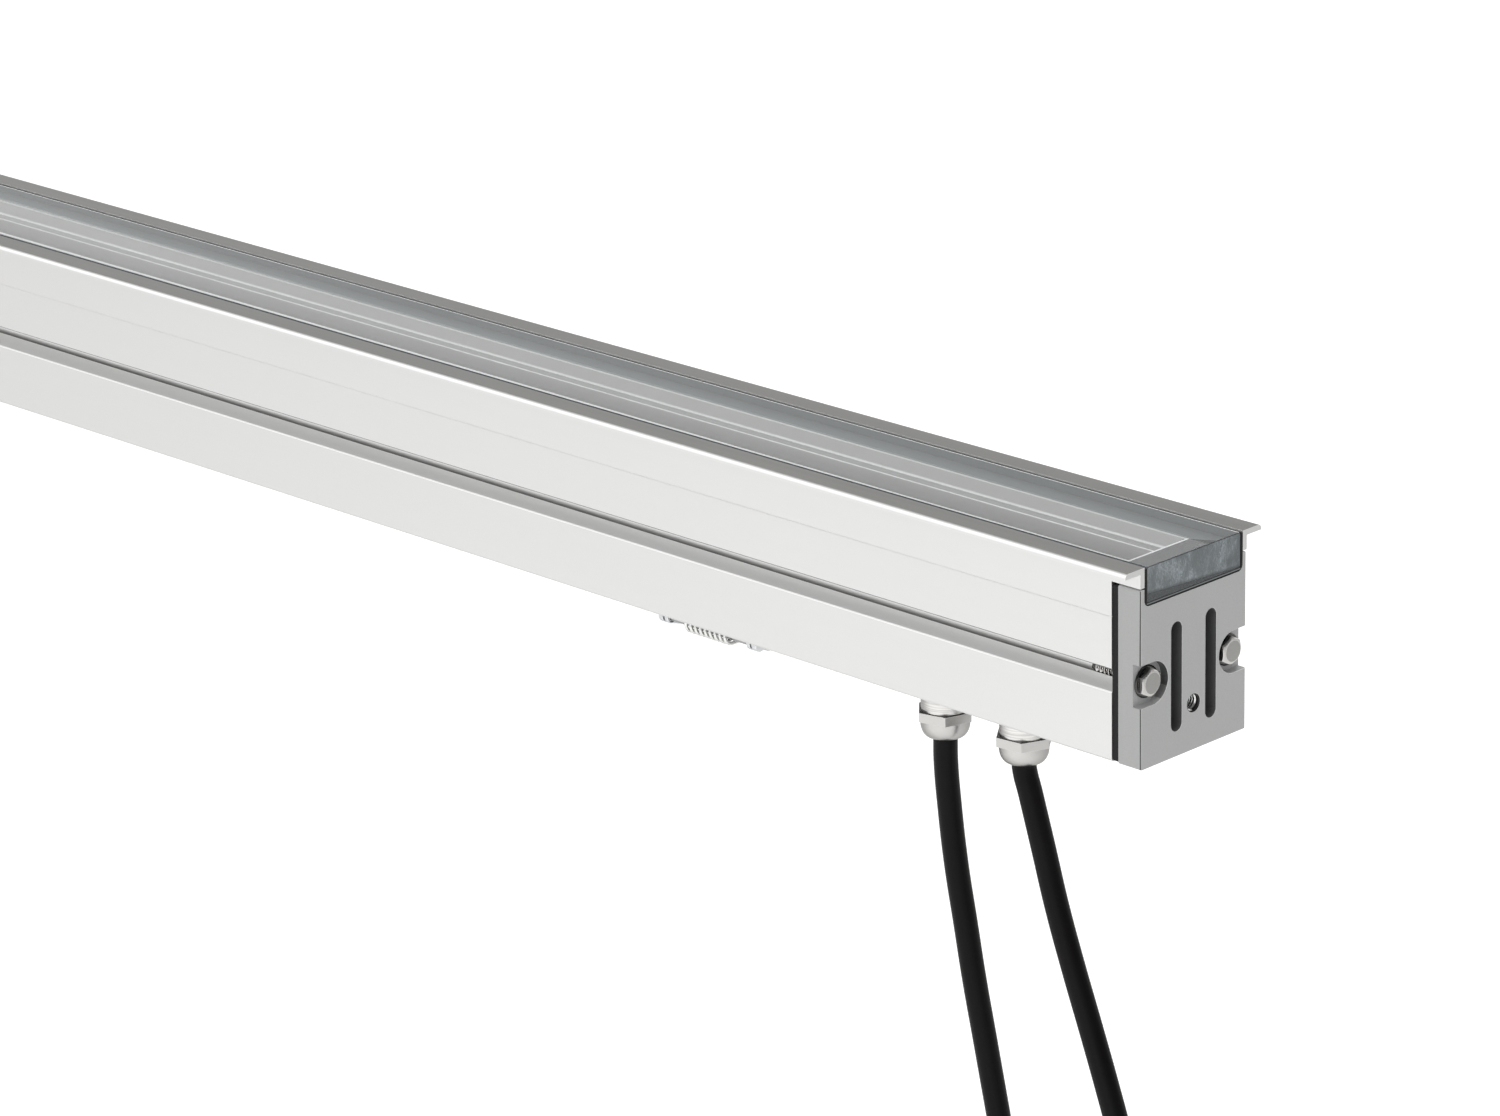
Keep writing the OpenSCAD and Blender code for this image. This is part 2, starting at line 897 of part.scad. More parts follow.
module driver_lid() {
    color("lightgray")
        translate([driver_x, -driver_w/2, floor_z + driver_h - driver_lid_t])
            difference() {
                cube([driver_l, driver_w, driver_lid_t]);
                for (x = [driver_screw_in, driver_l - driver_screw_in])
                    for (y = [driver_screw_in, driver_w - driver_screw_in])
                        translate([x, y, driver_lid_t/2])
                            cylinder(h = driver_lid_t, r = driver_screw_r + slack);
            }
}

module driver_screws() {
    color("gainsboro")
        translate([driver_x, -driver_w/2, floor_z + driver_h - driver_lid_t/2])
            for (x = [driver_screw_in, driver_l - driver_screw_in])
                for (y = [driver_screw_in, driver_w - driver_screw_in])
                    translate([x, y, 0])
                        cylinder(h = driver_lid_t/2, r = driver_screw_r);
}

// Places of the ways of the terminal block
module at_ways() {
    for (i = [0:block_ways - 1])
        translate([0, (i - (block_ways - 1)/2)*block_pitch, 0])
            children();
}

module terminal_block() {
    color("white")
        difference() {
            translate([block_x - block_l, -block_w/2, floor_z])
                cube([block_l, block_w, block_h]);
            at_ways() {
                for (x = [block_x - block_l/4, block_x - block_l*3/4])
                    translate([x, 0, floor_z + block_h - block_step_h])
                        cylinder(h = block_step_h + cut, r = block_screw_r + slack);
                for (z = block_hole_zs)
                    translate([0, 0, z])
                        rod_x(block_x - block_hole_deep, block_x + cut, block_hole_r);
                translate([0, 0, block_hole_zs[0]])
                    rod_x(
                        block_x - block_l - cut, block_x - block_l + block_hole_deep, block_hole_r
                    );
            }
        }
}

module terminal_screws() {
    color("goldenrod")
        at_ways()
            for (x = [block_x - block_l/4, block_x - block_l*3/4])
                translate([x, 0, floor_z + block_h - block_step_h])
                    cylinder(h = block_step_h/2, r = block_screw_r);
}

// Middle of one way of the terminal block
function way_y(way) = (way - (block_ways - 1)/2)*block_pitch;

// Cores from the first cable into the lower holes of the terminal block
module supply_leads() {
    z = block_hole_zs[0];
    color("saddlebrown")
        for (way = [0:block_ways - 1])
            let (spot = core_spots[way], y = way_y(way))
            tube(
                [
                    [gland_x[0] + spot.x, spot.y, inner_end_z],
                    [gland_x[0] + spot.x, spot.y, inner_end_z + core_d],
                    [block_x + 6*core_d, y, z + core_d],
                    [block_x + 3*core_d, y, z],
                    [block_x - block_hole_deep, y, z]
                ],
                core_d/2, 6, [0, 1, 0]
            );
}

// Cores from the second cable, over the first gland, into the upper holes
module link_leads() {
    z = block_hole_zs[1];
    color("saddlebrown")
        for (way = [0:block_ways - 1])
            let (spot = core_spots[way], y = way_y(way))
            tube(
                [
                    [gland_x[1] + spot.x, spot.y, inner_end_z],
                    [gland_x[1] + spot.x, spot.y, link_z - core_d],
                    [gland_x[1] + spot.x - 2*core_d, spot.y, link_z],
                    [block_x + 12*core_d, y, link_z],
                    [block_x + 3*core_d, y, z],
                    [block_x - block_hole_deep, y, z]
                ],
                core_d/2, 6, [0, 1, 0]
            );
}

// Leads from the outer ways of the terminal block to the driver
module driver_leads() {
    z = block_hole_zs[0];
    color("saddlebrown")
        for (way = [0, block_ways - 1])
            let (y = way_y(way))
            tube(
                [
                    [block_x - block_l + block_hole_deep, y, z],
                    [block_x - block_l - 2*core_d, y, z],
                    [driver_x + driver_l + 2*core_d, y, floor_z + driver_h/2],
                    [driver_x + driver_l, y, floor_z + driver_h/2]
                ],
                core_d/2, 6, [0, 1, 0]
            );
}

// Glands and cables

module gland_bodies() {
    thread_top = floor_z + gland_thread_l;
    inner_low = dome_z + hex_h/2;
    color("gainsboro")
        for (x = gland_x)
            translate([x, 0, 0])
                difference() {
                    union() {
                        translate([0, 0, collar_z - cut])
                            cylinder(h = thread_top - collar_z + cut, r = gland_thread_r);
                        translate([0, 0, hex_z])
                            cylinder(h = collar_h, r = collar_r);
                    }
                    translate([0, 0, inner_low])
                        cylinder(h = thread_top - inner_low + cut, r = cable_r + slack);
                }
}

module gland_nuts() {
    steps = 8;
    color("gainsboro")
        for (i = [0, 1])
            translate([gland_x[i], 0, 0])
                difference() {
                    union() {
                        translate([0, 0, dome_z])
                            rotate(hex_turns[i])
                                hexagon(hex_flats, hex_h);
                        translate([0, 0, exit_z])
                            rotate_extrude()
                                polygon(concat(
                                    [[0, 0]],
                                    [for (i = [0:steps])
                                        let (a = 90*i/steps)
                                        [
                                            dome_mouth_r + (dome_r - dome_mouth_r)*sin(a),
                                            (dome_h - dome_straight)*(1 - cos(a))
                                        ]],
                                    [[dome_r, dome_h], [0, dome_h]]
                                ));
                    }
                    translate([0, 0, exit_z - cut])
                        cylinder(h = dome_h + hex_h + 2*cut, r = gland_bore_r);
                }
}

module gland_seals() {
    color("#222222")
        for (x = gland_x)
            translate([x, 0, exit_z])
                difference() {
                    cylinder(h = dome_h + hex_h, r = gland_bore_r);
                    translate([0, 0, -cut])
                        cylinder(h = dome_h + hex_h + 2*cut, r = cable_r);
                }
}

module gland_rings() {
    color("#222222")
        for (x = gland_x)
            translate([x, 0, collar_z])
                difference() {
                    cylinder(h = ring_t, r = collar_r - slack*3);
                    translate([0, 0, -cut])
                        cylinder(h = ring_t + 2*cut, r = gland_thread_r);
                }
}

module gland_lock_nuts() {
    color("gainsboro")
        for (x = gland_x)
            translate([x, 0, floor_z])
                difference() {
                    hexagon(nut_flats, nut_t);
                    translate([0, 0, -cut])
                        cylinder(h = nut_t + 2*cut, r = gland_thread_r);
                }
}

module cable_ends_inside() {
    color("#222222")
        for (x = gland_x)
            translate([x, 0, exit_z])
                cylinder(h = inner_end_z - exit_z, r = cable_r);
}

// A route from a gland's mouth, moved to its place under the body
function placed(route, x) = [for (p = route) p + [x, 0, exit_z]];

module supply_cable() {
    color("#222222")
        tube(placed(supply_route, gland_x[0]), cable_r, sheath_sides, [0, 1, 0]);
}

module link_cable() {
    color("#222222")
        tube(placed(link_route, gland_x[1]), cable_r, sheath_sides, [0, 1, 0]);
}

// Low ends of the two cables
low_ends = [
    placed(supply_route, gland_x[0])[len(supply_route) - 1],
    placed(link_route, gland_x[1])[len(link_route) - 1]
];

module cable_cores() {
    color("saddlebrown")
        for (low = low_ends)
            for (spot = core_spots)
                translate(low + [spot.x, spot.y, -core_l])
                    cylinder(h = core_l, r = core_d/2);
}

module cable_ferrules() {
    color("gainsboro")
        for (low = low_ends)
            for (spot = core_spots)
                translate(low + [spot.x, spot.y, -core_l - ferrule_l])
                    cylinder(h = ferrule_l, r = ferrule_d/2);
}

// Retaining catches

module at_bracket_screws(x) {
    for (side = [-1, 1])
        translate([x + side*foot_screw_gap/2, foot_screw_far, 0])
            children();
}

// One cheek, drawn around the pin's axis
module cheek_profile() {
    difference() {
        union() {
            polygon([
                [-foot_near + bracket_t, foot_rel],
                [foot_near + bracket_t, foot_rel],
                [eye_r, 0],
                [-eye_r, 0]
            ]);
            circle(r = eye_r);
        }
        circle(r = pin_r);
    }
}

module catch_brackets() {
    color("silver")
        for (x = [-catch_x, catch_x]) {
            difference() {
                translate([x - bracket_l/2, -foot_near, foot_z])
                    cube([bracket_l, foot_near + foot_far, bracket_t]);
                at_bracket_screws(x)
                    translate([0, 0, foot_z - cut])
                        cylinder(h = bracket_t + 2*cut, r = foot_screw_r + slack);
            }
            for (side = [0, 1])
                translate([x, 0, pin_z])
                    mirror([side, 0, 0])
                        along(cheek_x, bracket_l/2)
                            cheek_profile();
        }
}

module catch_pins() {
    color("dimgray")
        for (x = [-catch_x, catch_x])
            translate([x, 0, pin_z]) {
                rod_x(-bracket_l/2, bracket_l/2, pin_r);
                for (side = [0, 1])
                    mirror([side, 0, 0])
                        rod_x(bracket_l/2, bracket_l/2 + pin_head_t, pin_head_r);
            }
}

module bracket_screws() {
    color("gainsboro")
        for (x = [-catch_x, catch_x])
            at_bracket_screws(x) {
                translate([0, 0, foot_z - foot_head_h])
                    cylinder(h = foot_head_h, r = foot_head_r);
                translate([0, 0, foot_z])
                    cylinder(h = bracket_t + floor_t, r = foot_screw_r);
            }
}

// Centre line of one spring: a straight leg to the bracket, the coil, a leg on the catch.
// The curls wind to the right along X, around the pin.
curl_rings = 8;
coil_steps = round(coil_total*curl_rings);
coil_path = [for (i = [0:coil_steps])
    let (a = coil_start + 360*coil_total*i/coil_steps)
    [
        -coil_half + coil_total*coil_pitch*i/coil_steps,
        coil_mid_r*cos(a),
        coil_mid_r*sin(a)
    ]
];
spring_path = concat(
    [[coil_path[0].x, coil_path[0].y, foot_rel]],
    coil_path,
    [coil_path[coil_steps] + [0, leg_catch_l, 0]]
);
// Least distance between the skins of two curls, over points at least half a curl apart
least_gap = min([
    for (i = [0:coil_steps]) for (j = [i + curl_rings/2:1:coil_steps])
        norm(coil_path[i] - coil_path[j])
]) - wire_d;
echo(least_gap_of_a_spring_to_itself = least_gap);

module spring() {
    translate([0, 0, pin_z])
        tube(spring_path, wire_d/2, 6, [1, 0, 0]);
}

module spring_right() {
    color("gainsboro")
        translate([catch_x, 0, 0])
            spring();
}

module spring_left() {
    color("gainsboro")
        translate([-catch_x, 0, 0])
            spring();
}

// One ear of a catch, with the heel that meets the bracket's foot
module ear_profile() {
    heel_y = -3*catch_t;
    heel_top = foot_rel - air;
    difference() {
        union() {
            circle(r = eye_r);
            polygon([
                [heel_y - catch_t, heel_top],
                [heel_y + catch_t, heel_top],
                [eye_r, 0],
                [-eye_r, 0]
            ]);
            polygon([
                [0, -eye_r],
                [catch_start + catch_t, blade_rel - catch_t],
                [catch_start + catch_t, blade_rel + catch_t],
                [eye_r, catch_t],
                [0, catch_t]
            ]);
        }
        circle(r = pin_r + pin_gap);
    }
}

// Plate, upright part and sloping nose of a catch
module blade_profile() {
    low = blade_rel - catch_t;
    translate([catch_start, low])
        square([catch_reach - catch_start + catch_t, catch_t]);
}

module upright_profile() {
    low = blade_rel - catch_t;
    y = catch_reach;
    t = catch_t;
    polygon([
        [y, low],
        [y + t, low],
        [y + t, catch_rise],
        [y + t + nose_reach, catch_rise + nose_reach],
        [y + nose_reach, catch_rise + nose_reach + t],
        [y, catch_rise + t]
    ]);
}

module catch_lever() {
    translate([0, 0, pin_z]) {
        for (side = [0, 1])
            mirror([side, 0, 0])
                along(ear_x, ear_x + ear_t)
                    ear_profile();
        along(-ear_x - ear_t, ear_x + ear_t)
            blade_profile();
        along(-catch_up_l/2, catch_up_l/2)
            upright_profile();
    }
}

module catch_right() {
    color("silver")
        translate([catch_x, 0, 0])
            catch_lever();
}

module catch_left() {
    color("silver")
        translate([-catch_x, 0, 0])
            catch_lever();
}

housing();
glass();
glass_border();
glass_seal();
reflector_rails();
reflector_ends();
led_boards();
led_chips();
lens_bars();
board_screws();
board_plug();
led_leads();
end_plate_right();
end_plate_left();
end_gasket_right();
end_gasket_left();
end_screws_right();
end_screws_left();
driver_case();
driver_lid();
driver_screws();
terminal_block();
terminal_screws();
supply_leads();
link_leads();
driver_leads();
gland_bodies();
gland_nuts();
gland_seals();
gland_rings();
gland_lock_nuts();
cable_ends_inside();
supply_cable();
link_cable();
cable_cores();
cable_ferrules();
catch_brackets();
catch_pins();
bracket_screws();
spring_right();
spring_left();
catch_right();
catch_left();
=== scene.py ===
import math

import bmesh
import bpy
from mathutils import Matrix, Vector


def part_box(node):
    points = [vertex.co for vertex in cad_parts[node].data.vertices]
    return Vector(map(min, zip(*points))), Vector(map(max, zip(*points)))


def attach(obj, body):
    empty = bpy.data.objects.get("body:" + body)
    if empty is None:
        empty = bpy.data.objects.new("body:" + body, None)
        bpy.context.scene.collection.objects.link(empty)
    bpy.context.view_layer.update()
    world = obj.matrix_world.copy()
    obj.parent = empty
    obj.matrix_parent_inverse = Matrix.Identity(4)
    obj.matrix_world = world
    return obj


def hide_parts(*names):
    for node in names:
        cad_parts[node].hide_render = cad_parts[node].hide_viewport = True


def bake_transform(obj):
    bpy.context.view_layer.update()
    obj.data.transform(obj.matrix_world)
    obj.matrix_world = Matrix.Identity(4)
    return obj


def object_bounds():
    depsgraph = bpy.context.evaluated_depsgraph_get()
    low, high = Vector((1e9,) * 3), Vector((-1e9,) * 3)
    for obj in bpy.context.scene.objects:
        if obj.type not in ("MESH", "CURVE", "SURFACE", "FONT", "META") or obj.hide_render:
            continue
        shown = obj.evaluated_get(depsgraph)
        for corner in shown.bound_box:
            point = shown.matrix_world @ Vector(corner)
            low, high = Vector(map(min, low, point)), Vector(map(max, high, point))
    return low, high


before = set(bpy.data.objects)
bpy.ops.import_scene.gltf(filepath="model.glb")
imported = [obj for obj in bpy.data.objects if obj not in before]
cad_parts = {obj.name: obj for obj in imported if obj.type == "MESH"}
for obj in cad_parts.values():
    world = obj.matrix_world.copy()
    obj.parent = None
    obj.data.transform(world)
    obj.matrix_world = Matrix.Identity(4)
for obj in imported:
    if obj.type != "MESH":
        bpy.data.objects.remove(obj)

cad_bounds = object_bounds()
MM = 0.001
MICRON = 0.000001
LIGHT = "light"
FULL_TURN = 2*math.pi
UP = (0, 0, 1)


def mm(*values):
    return Vector([value*MM for value in values])


def new_object(name, data):
    """An object in the scene that holds the data."""
    obj = bpy.data.objects.new(name, data)
    bpy.context.scene.collection.objects.link(obj)
    return obj


# Camera

AZIMUTH = math.radians(45.46)
ELEVATION = math.radians(19.23)
ROLL = math.radians(-1.374)
EYE = (1.48985, -1.15397, 0.53074)
FOCAL_SHARE = 5560/1500
SENSOR = 36


def place_camera():
    data = bpy.data.cameras.new("camera")
    data.sensor_fit = "HORIZONTAL"
    data.sensor_width = SENSOR
    data.lens = FOCAL_SHARE*SENSOR
    data.clip_start = 0.01
    data.clip_end = 100
    camera = new_object("camera", data)
    turn = (
        Matrix.Rotation(AZIMUTH, 4, "Z")
        @ Matrix.Rotation(math.pi/2 - ELEVATION, 4, "X")
        @ Matrix.Rotation(ROLL, 4, "Z")
    )
    camera.matrix_world = Matrix.Translation(EYE) @ turn
    bpy.context.scene.camera = camera


place_camera()


# Shader tools

def give(tree, socket, value):
    """Sets a socket to a number, a colour or a direction, or links an output to it."""
    if isinstance(value, (int, float)):
        socket.default_value = value
    elif isinstance(value, tuple):
        socket.default_value = (*value, 1)[:len(socket.default_value)]
    else:
        tree.links.new(value, socket)


def add_node(tree, kind, values):
    """A shader node of a kind, with its inputs given by name or number."""
    node = tree.nodes.new("ShaderNode" + kind)
    for key, value in values.items():
        give(tree, node.inputs[key], value)
    return node


def math_node(tree, kind, first, second=0.5, clamp=False):
    node = add_node(tree, "Math", {0: first, 1: second})
    node.operation = kind
    node.use_clamp = clamp
    return node.outputs[0]


def mixed(tree, share, first, second, kind="FLOAT"):
    """A number between two or, with the kind RGBA, a colour."""
    node = tree.nodes.new("ShaderNodeMix")
    node.data_type = kind
    for label, value in (("Factor", share), ("A", first), ("B", second)):
        give(tree, node.inputs[label], value)
    return node.outputs["Result"]


def object_place(tree):
    """The coordinates of the object, which are those of the part."""
    return tree.nodes.new("ShaderNodeTexCoord").outputs["Object"]


def noise(tree, stretch, scale, detail=3, rough=0.5, twist=0.0):
    """Noise over the object's coordinates, drawn out where the stretch is under 1."""
    mapping = add_node(tree, "Mapping", {"Scale": stretch, "Vector": object_place(tree)})
    return add_node(tree, "TexNoise", {
        "Detail": detail, "Roughness": rough, "Distortion": twist, "Scale": scale,
        "Vector": mapping.outputs[0],
    }).outputs["Fac"]


def spread(tree, value, low, high, at_low=0.0, at_high=1.0):
    """A number that goes from at_low to at_high as the value goes from low to high."""
    return add_node(tree, "MapRange", {
        "Value": value, "From Min": low, "From Max": high, "To Min": at_low, "To Max": at_high,
    }).outputs[0]


def toward(tree, vector, direction):
    """How far a vector points in a direction."""
    node = add_node(tree, "VectorMath", {0: vector, 1: direction})
    node.operation = "DOT_PRODUCT"
    return node.outputs["Value"]


# Shared effects, each a node group

EVEN = (1, 1, 1)


def new_group(name, inputs, output):
    tree = bpy.data.node_groups.new(name, "ShaderNodeTree")
    for label, value in inputs.items():
        socket = tree.interface.new_socket(label, in_out="INPUT", socket_type="NodeSocketFloat")
        socket.default_value = value
    tree.interface.new_socket(output, in_out="OUTPUT", socket_type="NodeSocketFloat")
    return tree, tree.nodes.new("NodeGroupInput"), tree.nodes.new("NodeGroupOutput")


def brushing_group():
    """Fine lines that run along the body."""
    tree, given, out = new_group("brushed lines", {"Fineness": 1500}, "Lines")
    fine = noise(tree, (0.006, 1, 1), given.outputs["Fineness"], 3, 0.7)
    broad = noise(tree, (0.01, 1, 1), 260, 2)
    both = math_node(tree, "MULTIPLY_ADD", broad, 0.5)
    tree.links.new(math_node(tree, "MULTIPLY", fine, 0.5), both.node.inputs[2])
    tree.links.new(both, out.inputs["Lines"])
    return tree


def grain_group():
    """Fine even grain, as on a casting or a moulding."""
    tree, given, out = new_group("grain", {"Fineness": 1400}, "Grain")
    fine = noise(tree, EVEN, given.outputs["Fineness"], 4, 0.6)
    tree.links.new(fine, out.inputs["Grain"])
    return tree


def handling_group():
    """Broad soft marks from handling and weather."""
    tree, given, out = new_group("handling", {"Size": 30}, "Marks")
    marks = noise(tree, (0.5, 1, 1), given.outputs["Size"], 5, 0.6)
    tree.links.new(marks, out.inputs["Marks"])
    return tree


def edge_group():
    """Pale edges where the surface turns: partly bare metal from wear, partly a painted highlight.
    """
    tree, given, out = new_group("worn edges and painted highlight", {"Width": 0.0006, "Strength": 3}, "Edge")
    bevel_normal = add_node(tree, "Bevel", {"Radius": given.outputs["Width"]})
    bevel_normal.samples = 6
    surface = tree.nodes.new("ShaderNodeNewGeometry")
    alike = toward(tree, bevel_normal.outputs[0], surface.outputs["Normal"])
    turned_off = math_node(tree, "SUBTRACT", 1, alike, clamp=True)
    broken = noise(tree, EVEN, 420, 3, 0.7)
    worn = math_node(tree, "MULTIPLY", turned_off, given.outputs["Strength"])
    worn = math_node(tree, "MULTIPLY", worn, math_node(tree, "ADD", broken, 0.35), clamp=True)
    tree.links.new(worn, out.inputs["Edge"])
    return tree


GROUPS = {
    "brushing": brushing_group(), "grain": grain_group(),
    "handling": handling_group(), "edge": edge_group(),
}


class Finish:
    """One material: a principled shader and the effects that feed it."""

    def __init__(self, name, colour, rough, metal=0.0, **fixed):
        self.material = bpy.data.materials.new(name)
        self.material.use_nodes = True
        self.tree = self.material.node_tree
        self.shader = self.tree.nodes["Principled BSDF"]
        self.output = self.tree.nodes["Material Output"]
        fixed.update(base_color=colour, roughness=rough, metallic=metal)
        for label, value in fixed.items():
            socket = label.replace("_", " ").title().replace("Ior", "IOR")
            give(self.tree, self.shader.inputs[socket], value)

    def group(self, key, **values):
        node = self.tree.nodes.new("ShaderNodeGroup")
        node.node_tree = GROUPS[key]
        for label, value in values.items():
            node.inputs[label].default_value = value
        return node.outputs[0]

    def mix(self, share, first, second):
        """A colour between two, each a colour or a socket."""
        return mixed(self.tree, share, first, second, "RGBA")

    def between(self, share, low, high):
        """A number that goes from low to high with share."""
        return spread(self.tree, share, 0.0, 1.0, low, high)

    def height(self, low, high):
        """A share that goes from 0 to 1 between two heights of the part, in mm."""
        return spread(self.tree, toward(self.tree, object_place(self.tree), UP), low*MM, high*MM)

    def feed(self, label, value):
        self.tree.links.new(value, self.shader.inputs[label])

    def bump(self, *heights):
        """Heights in micrometres, each a (socket, depth) pair, added up."""
        total = None
        for value, depth in heights:
            value = math_node(self.tree, "MULTIPLY", value, depth*MICRON)
            total = value if total is None else math_node(self.tree, "ADD", total, value)
        node = add_node(self.tree, "Bump", {"Strength": 1, "Distance": 1, "Height": total})
        self.feed("Normal", node.outputs[0])


def shade(colour, factor):
    return tuple(min(1, part*factor) for part in colour)


def worked(name, colour, rough, metal, fineness=1400, grain=10, marks=0.08, specks=0.0,
           edge_colour=None, edge_width=0.6, edge_strength=3, lines=0.0, **fixed):
    """A worn surface: grain, soft marks, polished edges whose pale colour is partly a painted
    highlight and, where it is drawn, fine lines.

    The grain is in micrometres deep and the edge in mm wide.
    """
    finish = Finish(name, colour, rough, metal, **fixed)
    grains = finish.group("grain", Fineness=fineness)
    soft = finish.group("handling")
    base = finish.mix(soft, shade(colour, 1 - marks), shade(colour, 1 + marks))
    heights = [(grains, grain)]
    if specks:
        base = finish.mix(finish.between(grains, 0, specks), base, shade(colour, 0.45))
    if lines:
        drawn = finish.group("brushing")
        base = finish.mix(drawn, base, shade(colour, 1 + lines))
        heights.append((drawn, grain))
    if edge_colour:
        edge = finish.group("edge", Width=edge_width*MM, Strength=edge_strength)
        base = finish.mix(edge, base, edge_colour)
    finish.feed("Base Color", base)
    finish.feed("Roughness", finish.between(soft, rough*0.85, min(1, rough*1.15)))
    finish.bump(*heights)
    return finish.material


# Finishes

# Pairs of heights, in mm, between which a finish changes
CHANNEL_SHADE = (-36.6, -35.4)
LIP_HIGHLIGHT = (0.3, 0.9)
LIP_TOP_SHADE = (1.28, 1.76)
WALL_SHADE = (-20.8, -14.6)
COLLAR_LOW = (-72.2, -72.0)
GROUND_BAND = (-7.8, -6.8)
GROUND_SLANT = 0.058

anodised = worked(
    "anodised silver", (0.755, 0.755, 0.745), 0.42, 1.0, fineness=2600, grain=4,
    marks=0.02, edge_colour=(0.95, 0.95, 0.94), edge_width=0.5, edge_strength=1.5,
    lines=0.02,
)


def brushed_shaded_lip():
    """The brushed top of a lip, painted darker than the side as shade, paler in patches."""
    finish = Finish("lip top, brushed, painted shade", (0.35, 0.345, 0.33), 0.36, 1.0)
    lines = finish.group("brushing", Fineness=2200)
    soft = finish.group("handling", Size=24)
    base = finish.mix(lines, (0.15, 0.15, 0.143), (0.36, 0.355, 0.34))
    base = finish.mix(finish.between(soft, 0, 0.25), base, (0.44, 0.43, 0.41))
    finish.feed("Base Color", base)
    finish.feed("Roughness", finish.between(lines, 0.30, 0.44))
    finish.bump((lines, 30))
    return finish.material


def channel_metal():
    """The drawn wall of a screw channel, painted bright above as a reflection and painted dark down
    in the shade.
    """
    finish = Finish("screw channel wall, painted light and shade", (0.80, 0.80, 0.79), 0.34, 1.0)
    lines = finish.group("brushing", Fineness=2600)
    drawn = finish.mix(lines, (0.86, 0.86, 0.85), (1.0, 1.0, 0.99))
    shaded = finish.mix(finish.height(*CHANNEL_SHADE), (0.13, 0.13, 0.127), drawn)
    finish.feed("Base Color", shaded)
    finish.bump((lines, 20))
    return finish.material


def lip_round():
    """The round outer edge of a lip: dark above like its top, in painted shade, and painted white
    below as a highlight.
    """
    finish = Finish("lip edge, painted highlight", (0.97, 0.97, 0.965), 0.40, 0.0)
    lines = finish.group("brushing", Fineness=2200)
    white = finish.mix(finish.height(*LIP_HIGHLIGHT), (0.76, 0.76, 0.75), (0.97, 0.97, 0.965))
    top = finish.mix(lines, (0.16, 0.16, 0.155), (0.26, 0.26, 0.25))
    finish.feed("Base Color", finish.mix(finish.height(*LIP_TOP_SHADE), white, top))
    finish.bump((lines, 6))
    return finish.material


shaded_lip_top = brushed_shaded_lip()
lip_highlight = lip_round()
channel = channel_metal()
shadow_line = worked("painted shadow line", (0.34, 0.34, 0.335), 0.4, 1.0, grain=4, marks=0.05)
edge_pale = worked("pale edge", (0.73, 0.73, 0.72), 0.4, 0.0, grain=4, marks=0.05)
highlight_line = worked("painted highlight line", (0.96, 0.96, 0.95), 0.4, 0.0, grain=4, marks=0.02)
cast_corner_shade = worked("corner of the casting, painted shade", (0.12, 0.12, 0.118), 0.6, 0.0, grain=20, marks=0.1)
cast_rim_highlight = worked("rims of the casting, painted highlight", (0.80, 0.80, 0.79), 0.4, 0.2, grain=20, marks=0.1)
cast_half_shade = worked("lower pocket wall of the casting, painted half shade", (0.27, 0.27, 0.268), 0.4, 0.3, grain=40, marks=0.1)
cast, cast_side_shade = (
    worked(name, colour, 0.46, 0.25, fineness=1700, grain=70, specks=0.30, marks=0.05)
    for name, colour in (
        ("cast end plate", (0.52, 0.524, 0.52)), ("side of the end plate, painted shade", (0.445, 0.45, 0.445)),
    )
)
cast_shade = worked(
    "pocket wall of the casting, painted shade", (0.13, 0.13, 0.13), 0.40, 0.4, fineness=1700, grain=50, specks=0.2,
    marks=0.1,
)
rubber = worked(
    "black rubber", (0.009, 0.009, 0.009), 0.68, 0.0, fineness=1700, grain=30,
    marks=0.25, edge_colour=(0.05, 0.05, 0.05), edge_strength=1.5, specular_ior_level=0.3,
)
band, band_end_shade, side_reflection = (
    worked(
        name, colour, 0.75, 0.0, fineness=1900, grain=4, marks=marks, specks=specks,
        specular_ior_level=0.05,
    )
    for name, colour, marks, specks in (
        ("grey band", (0.215, 0.232, 0.236), 0.06, 0.3),
        # The band's end pieces are painted near black as shade
        ("band ends, painted shade", (0.012, 0.015, 0.017), 0.06, 0.3),
        # The glass sides are opaque grey, a painted reflection of the band
        ("glass sides, painted reflection of the band", (0.155, 0.172, 0.178), 0.08, 0.25),
    )
)
reflector = worked(
    "reflector paint", (0.62, 0.61, 0.595), 0.40, 0.10, fineness=1200, grain=6,
    marks=0.04, lines=0.03,
)


def lower_wall():
    """The lower wall of the reflector, in painted shade that deepens toward the boards."""
    finish = Finish("lower wall of the reflector, painted shade", (0.44, 0.43, 0.42), 0.40, 0.0)
    lines = finish.group("brushing", Fineness=900)
    pale = finish.mix(lines, (0.42, 0.415, 0.405), (0.58, 0.57, 0.56))
    finish.feed("Base Color", finish.mix(finish.height(*WALL_SHADE), (0.13, 0.128, 0.122), pale))
    finish.bump((lines, 10))
    return finish.material


reflector_low = lower_wall()
# The step is painted darker than the wall above as shade
step_shade = worked(
    "step of the reflector, painted shade", (0.19, 0.188, 0.184), 0.45, 0.0, grain=4, marks=0.04, lines=0.05
)
# Bends and the window margin are painted near white as a highlight
rolled_highlight = worked("rolled bright edge", (0.97, 0.97, 0.965), 0.30, 0.0, grain=4, marks=0.02)
board_white = worked("board lacquer", (0.74, 0.75, 0.73), 0.40, 0.0, grain=4, marks=0.04)
stainless = worked(
    "stainless steel", (0.66, 0.65, 0.63), 0.17, 1.0, fineness=900, grain=3,
    marks=0.08, edge_colour=(0.97, 0.96, 0.95), edge_width=0.4, edge_strength=2,
)
head_face = worked(
    "stamped head", (0.44, 0.435, 0.42), 0.34, 1.0, fineness=1600, grain=20,
    marks=0.12, specks=0.3,
)
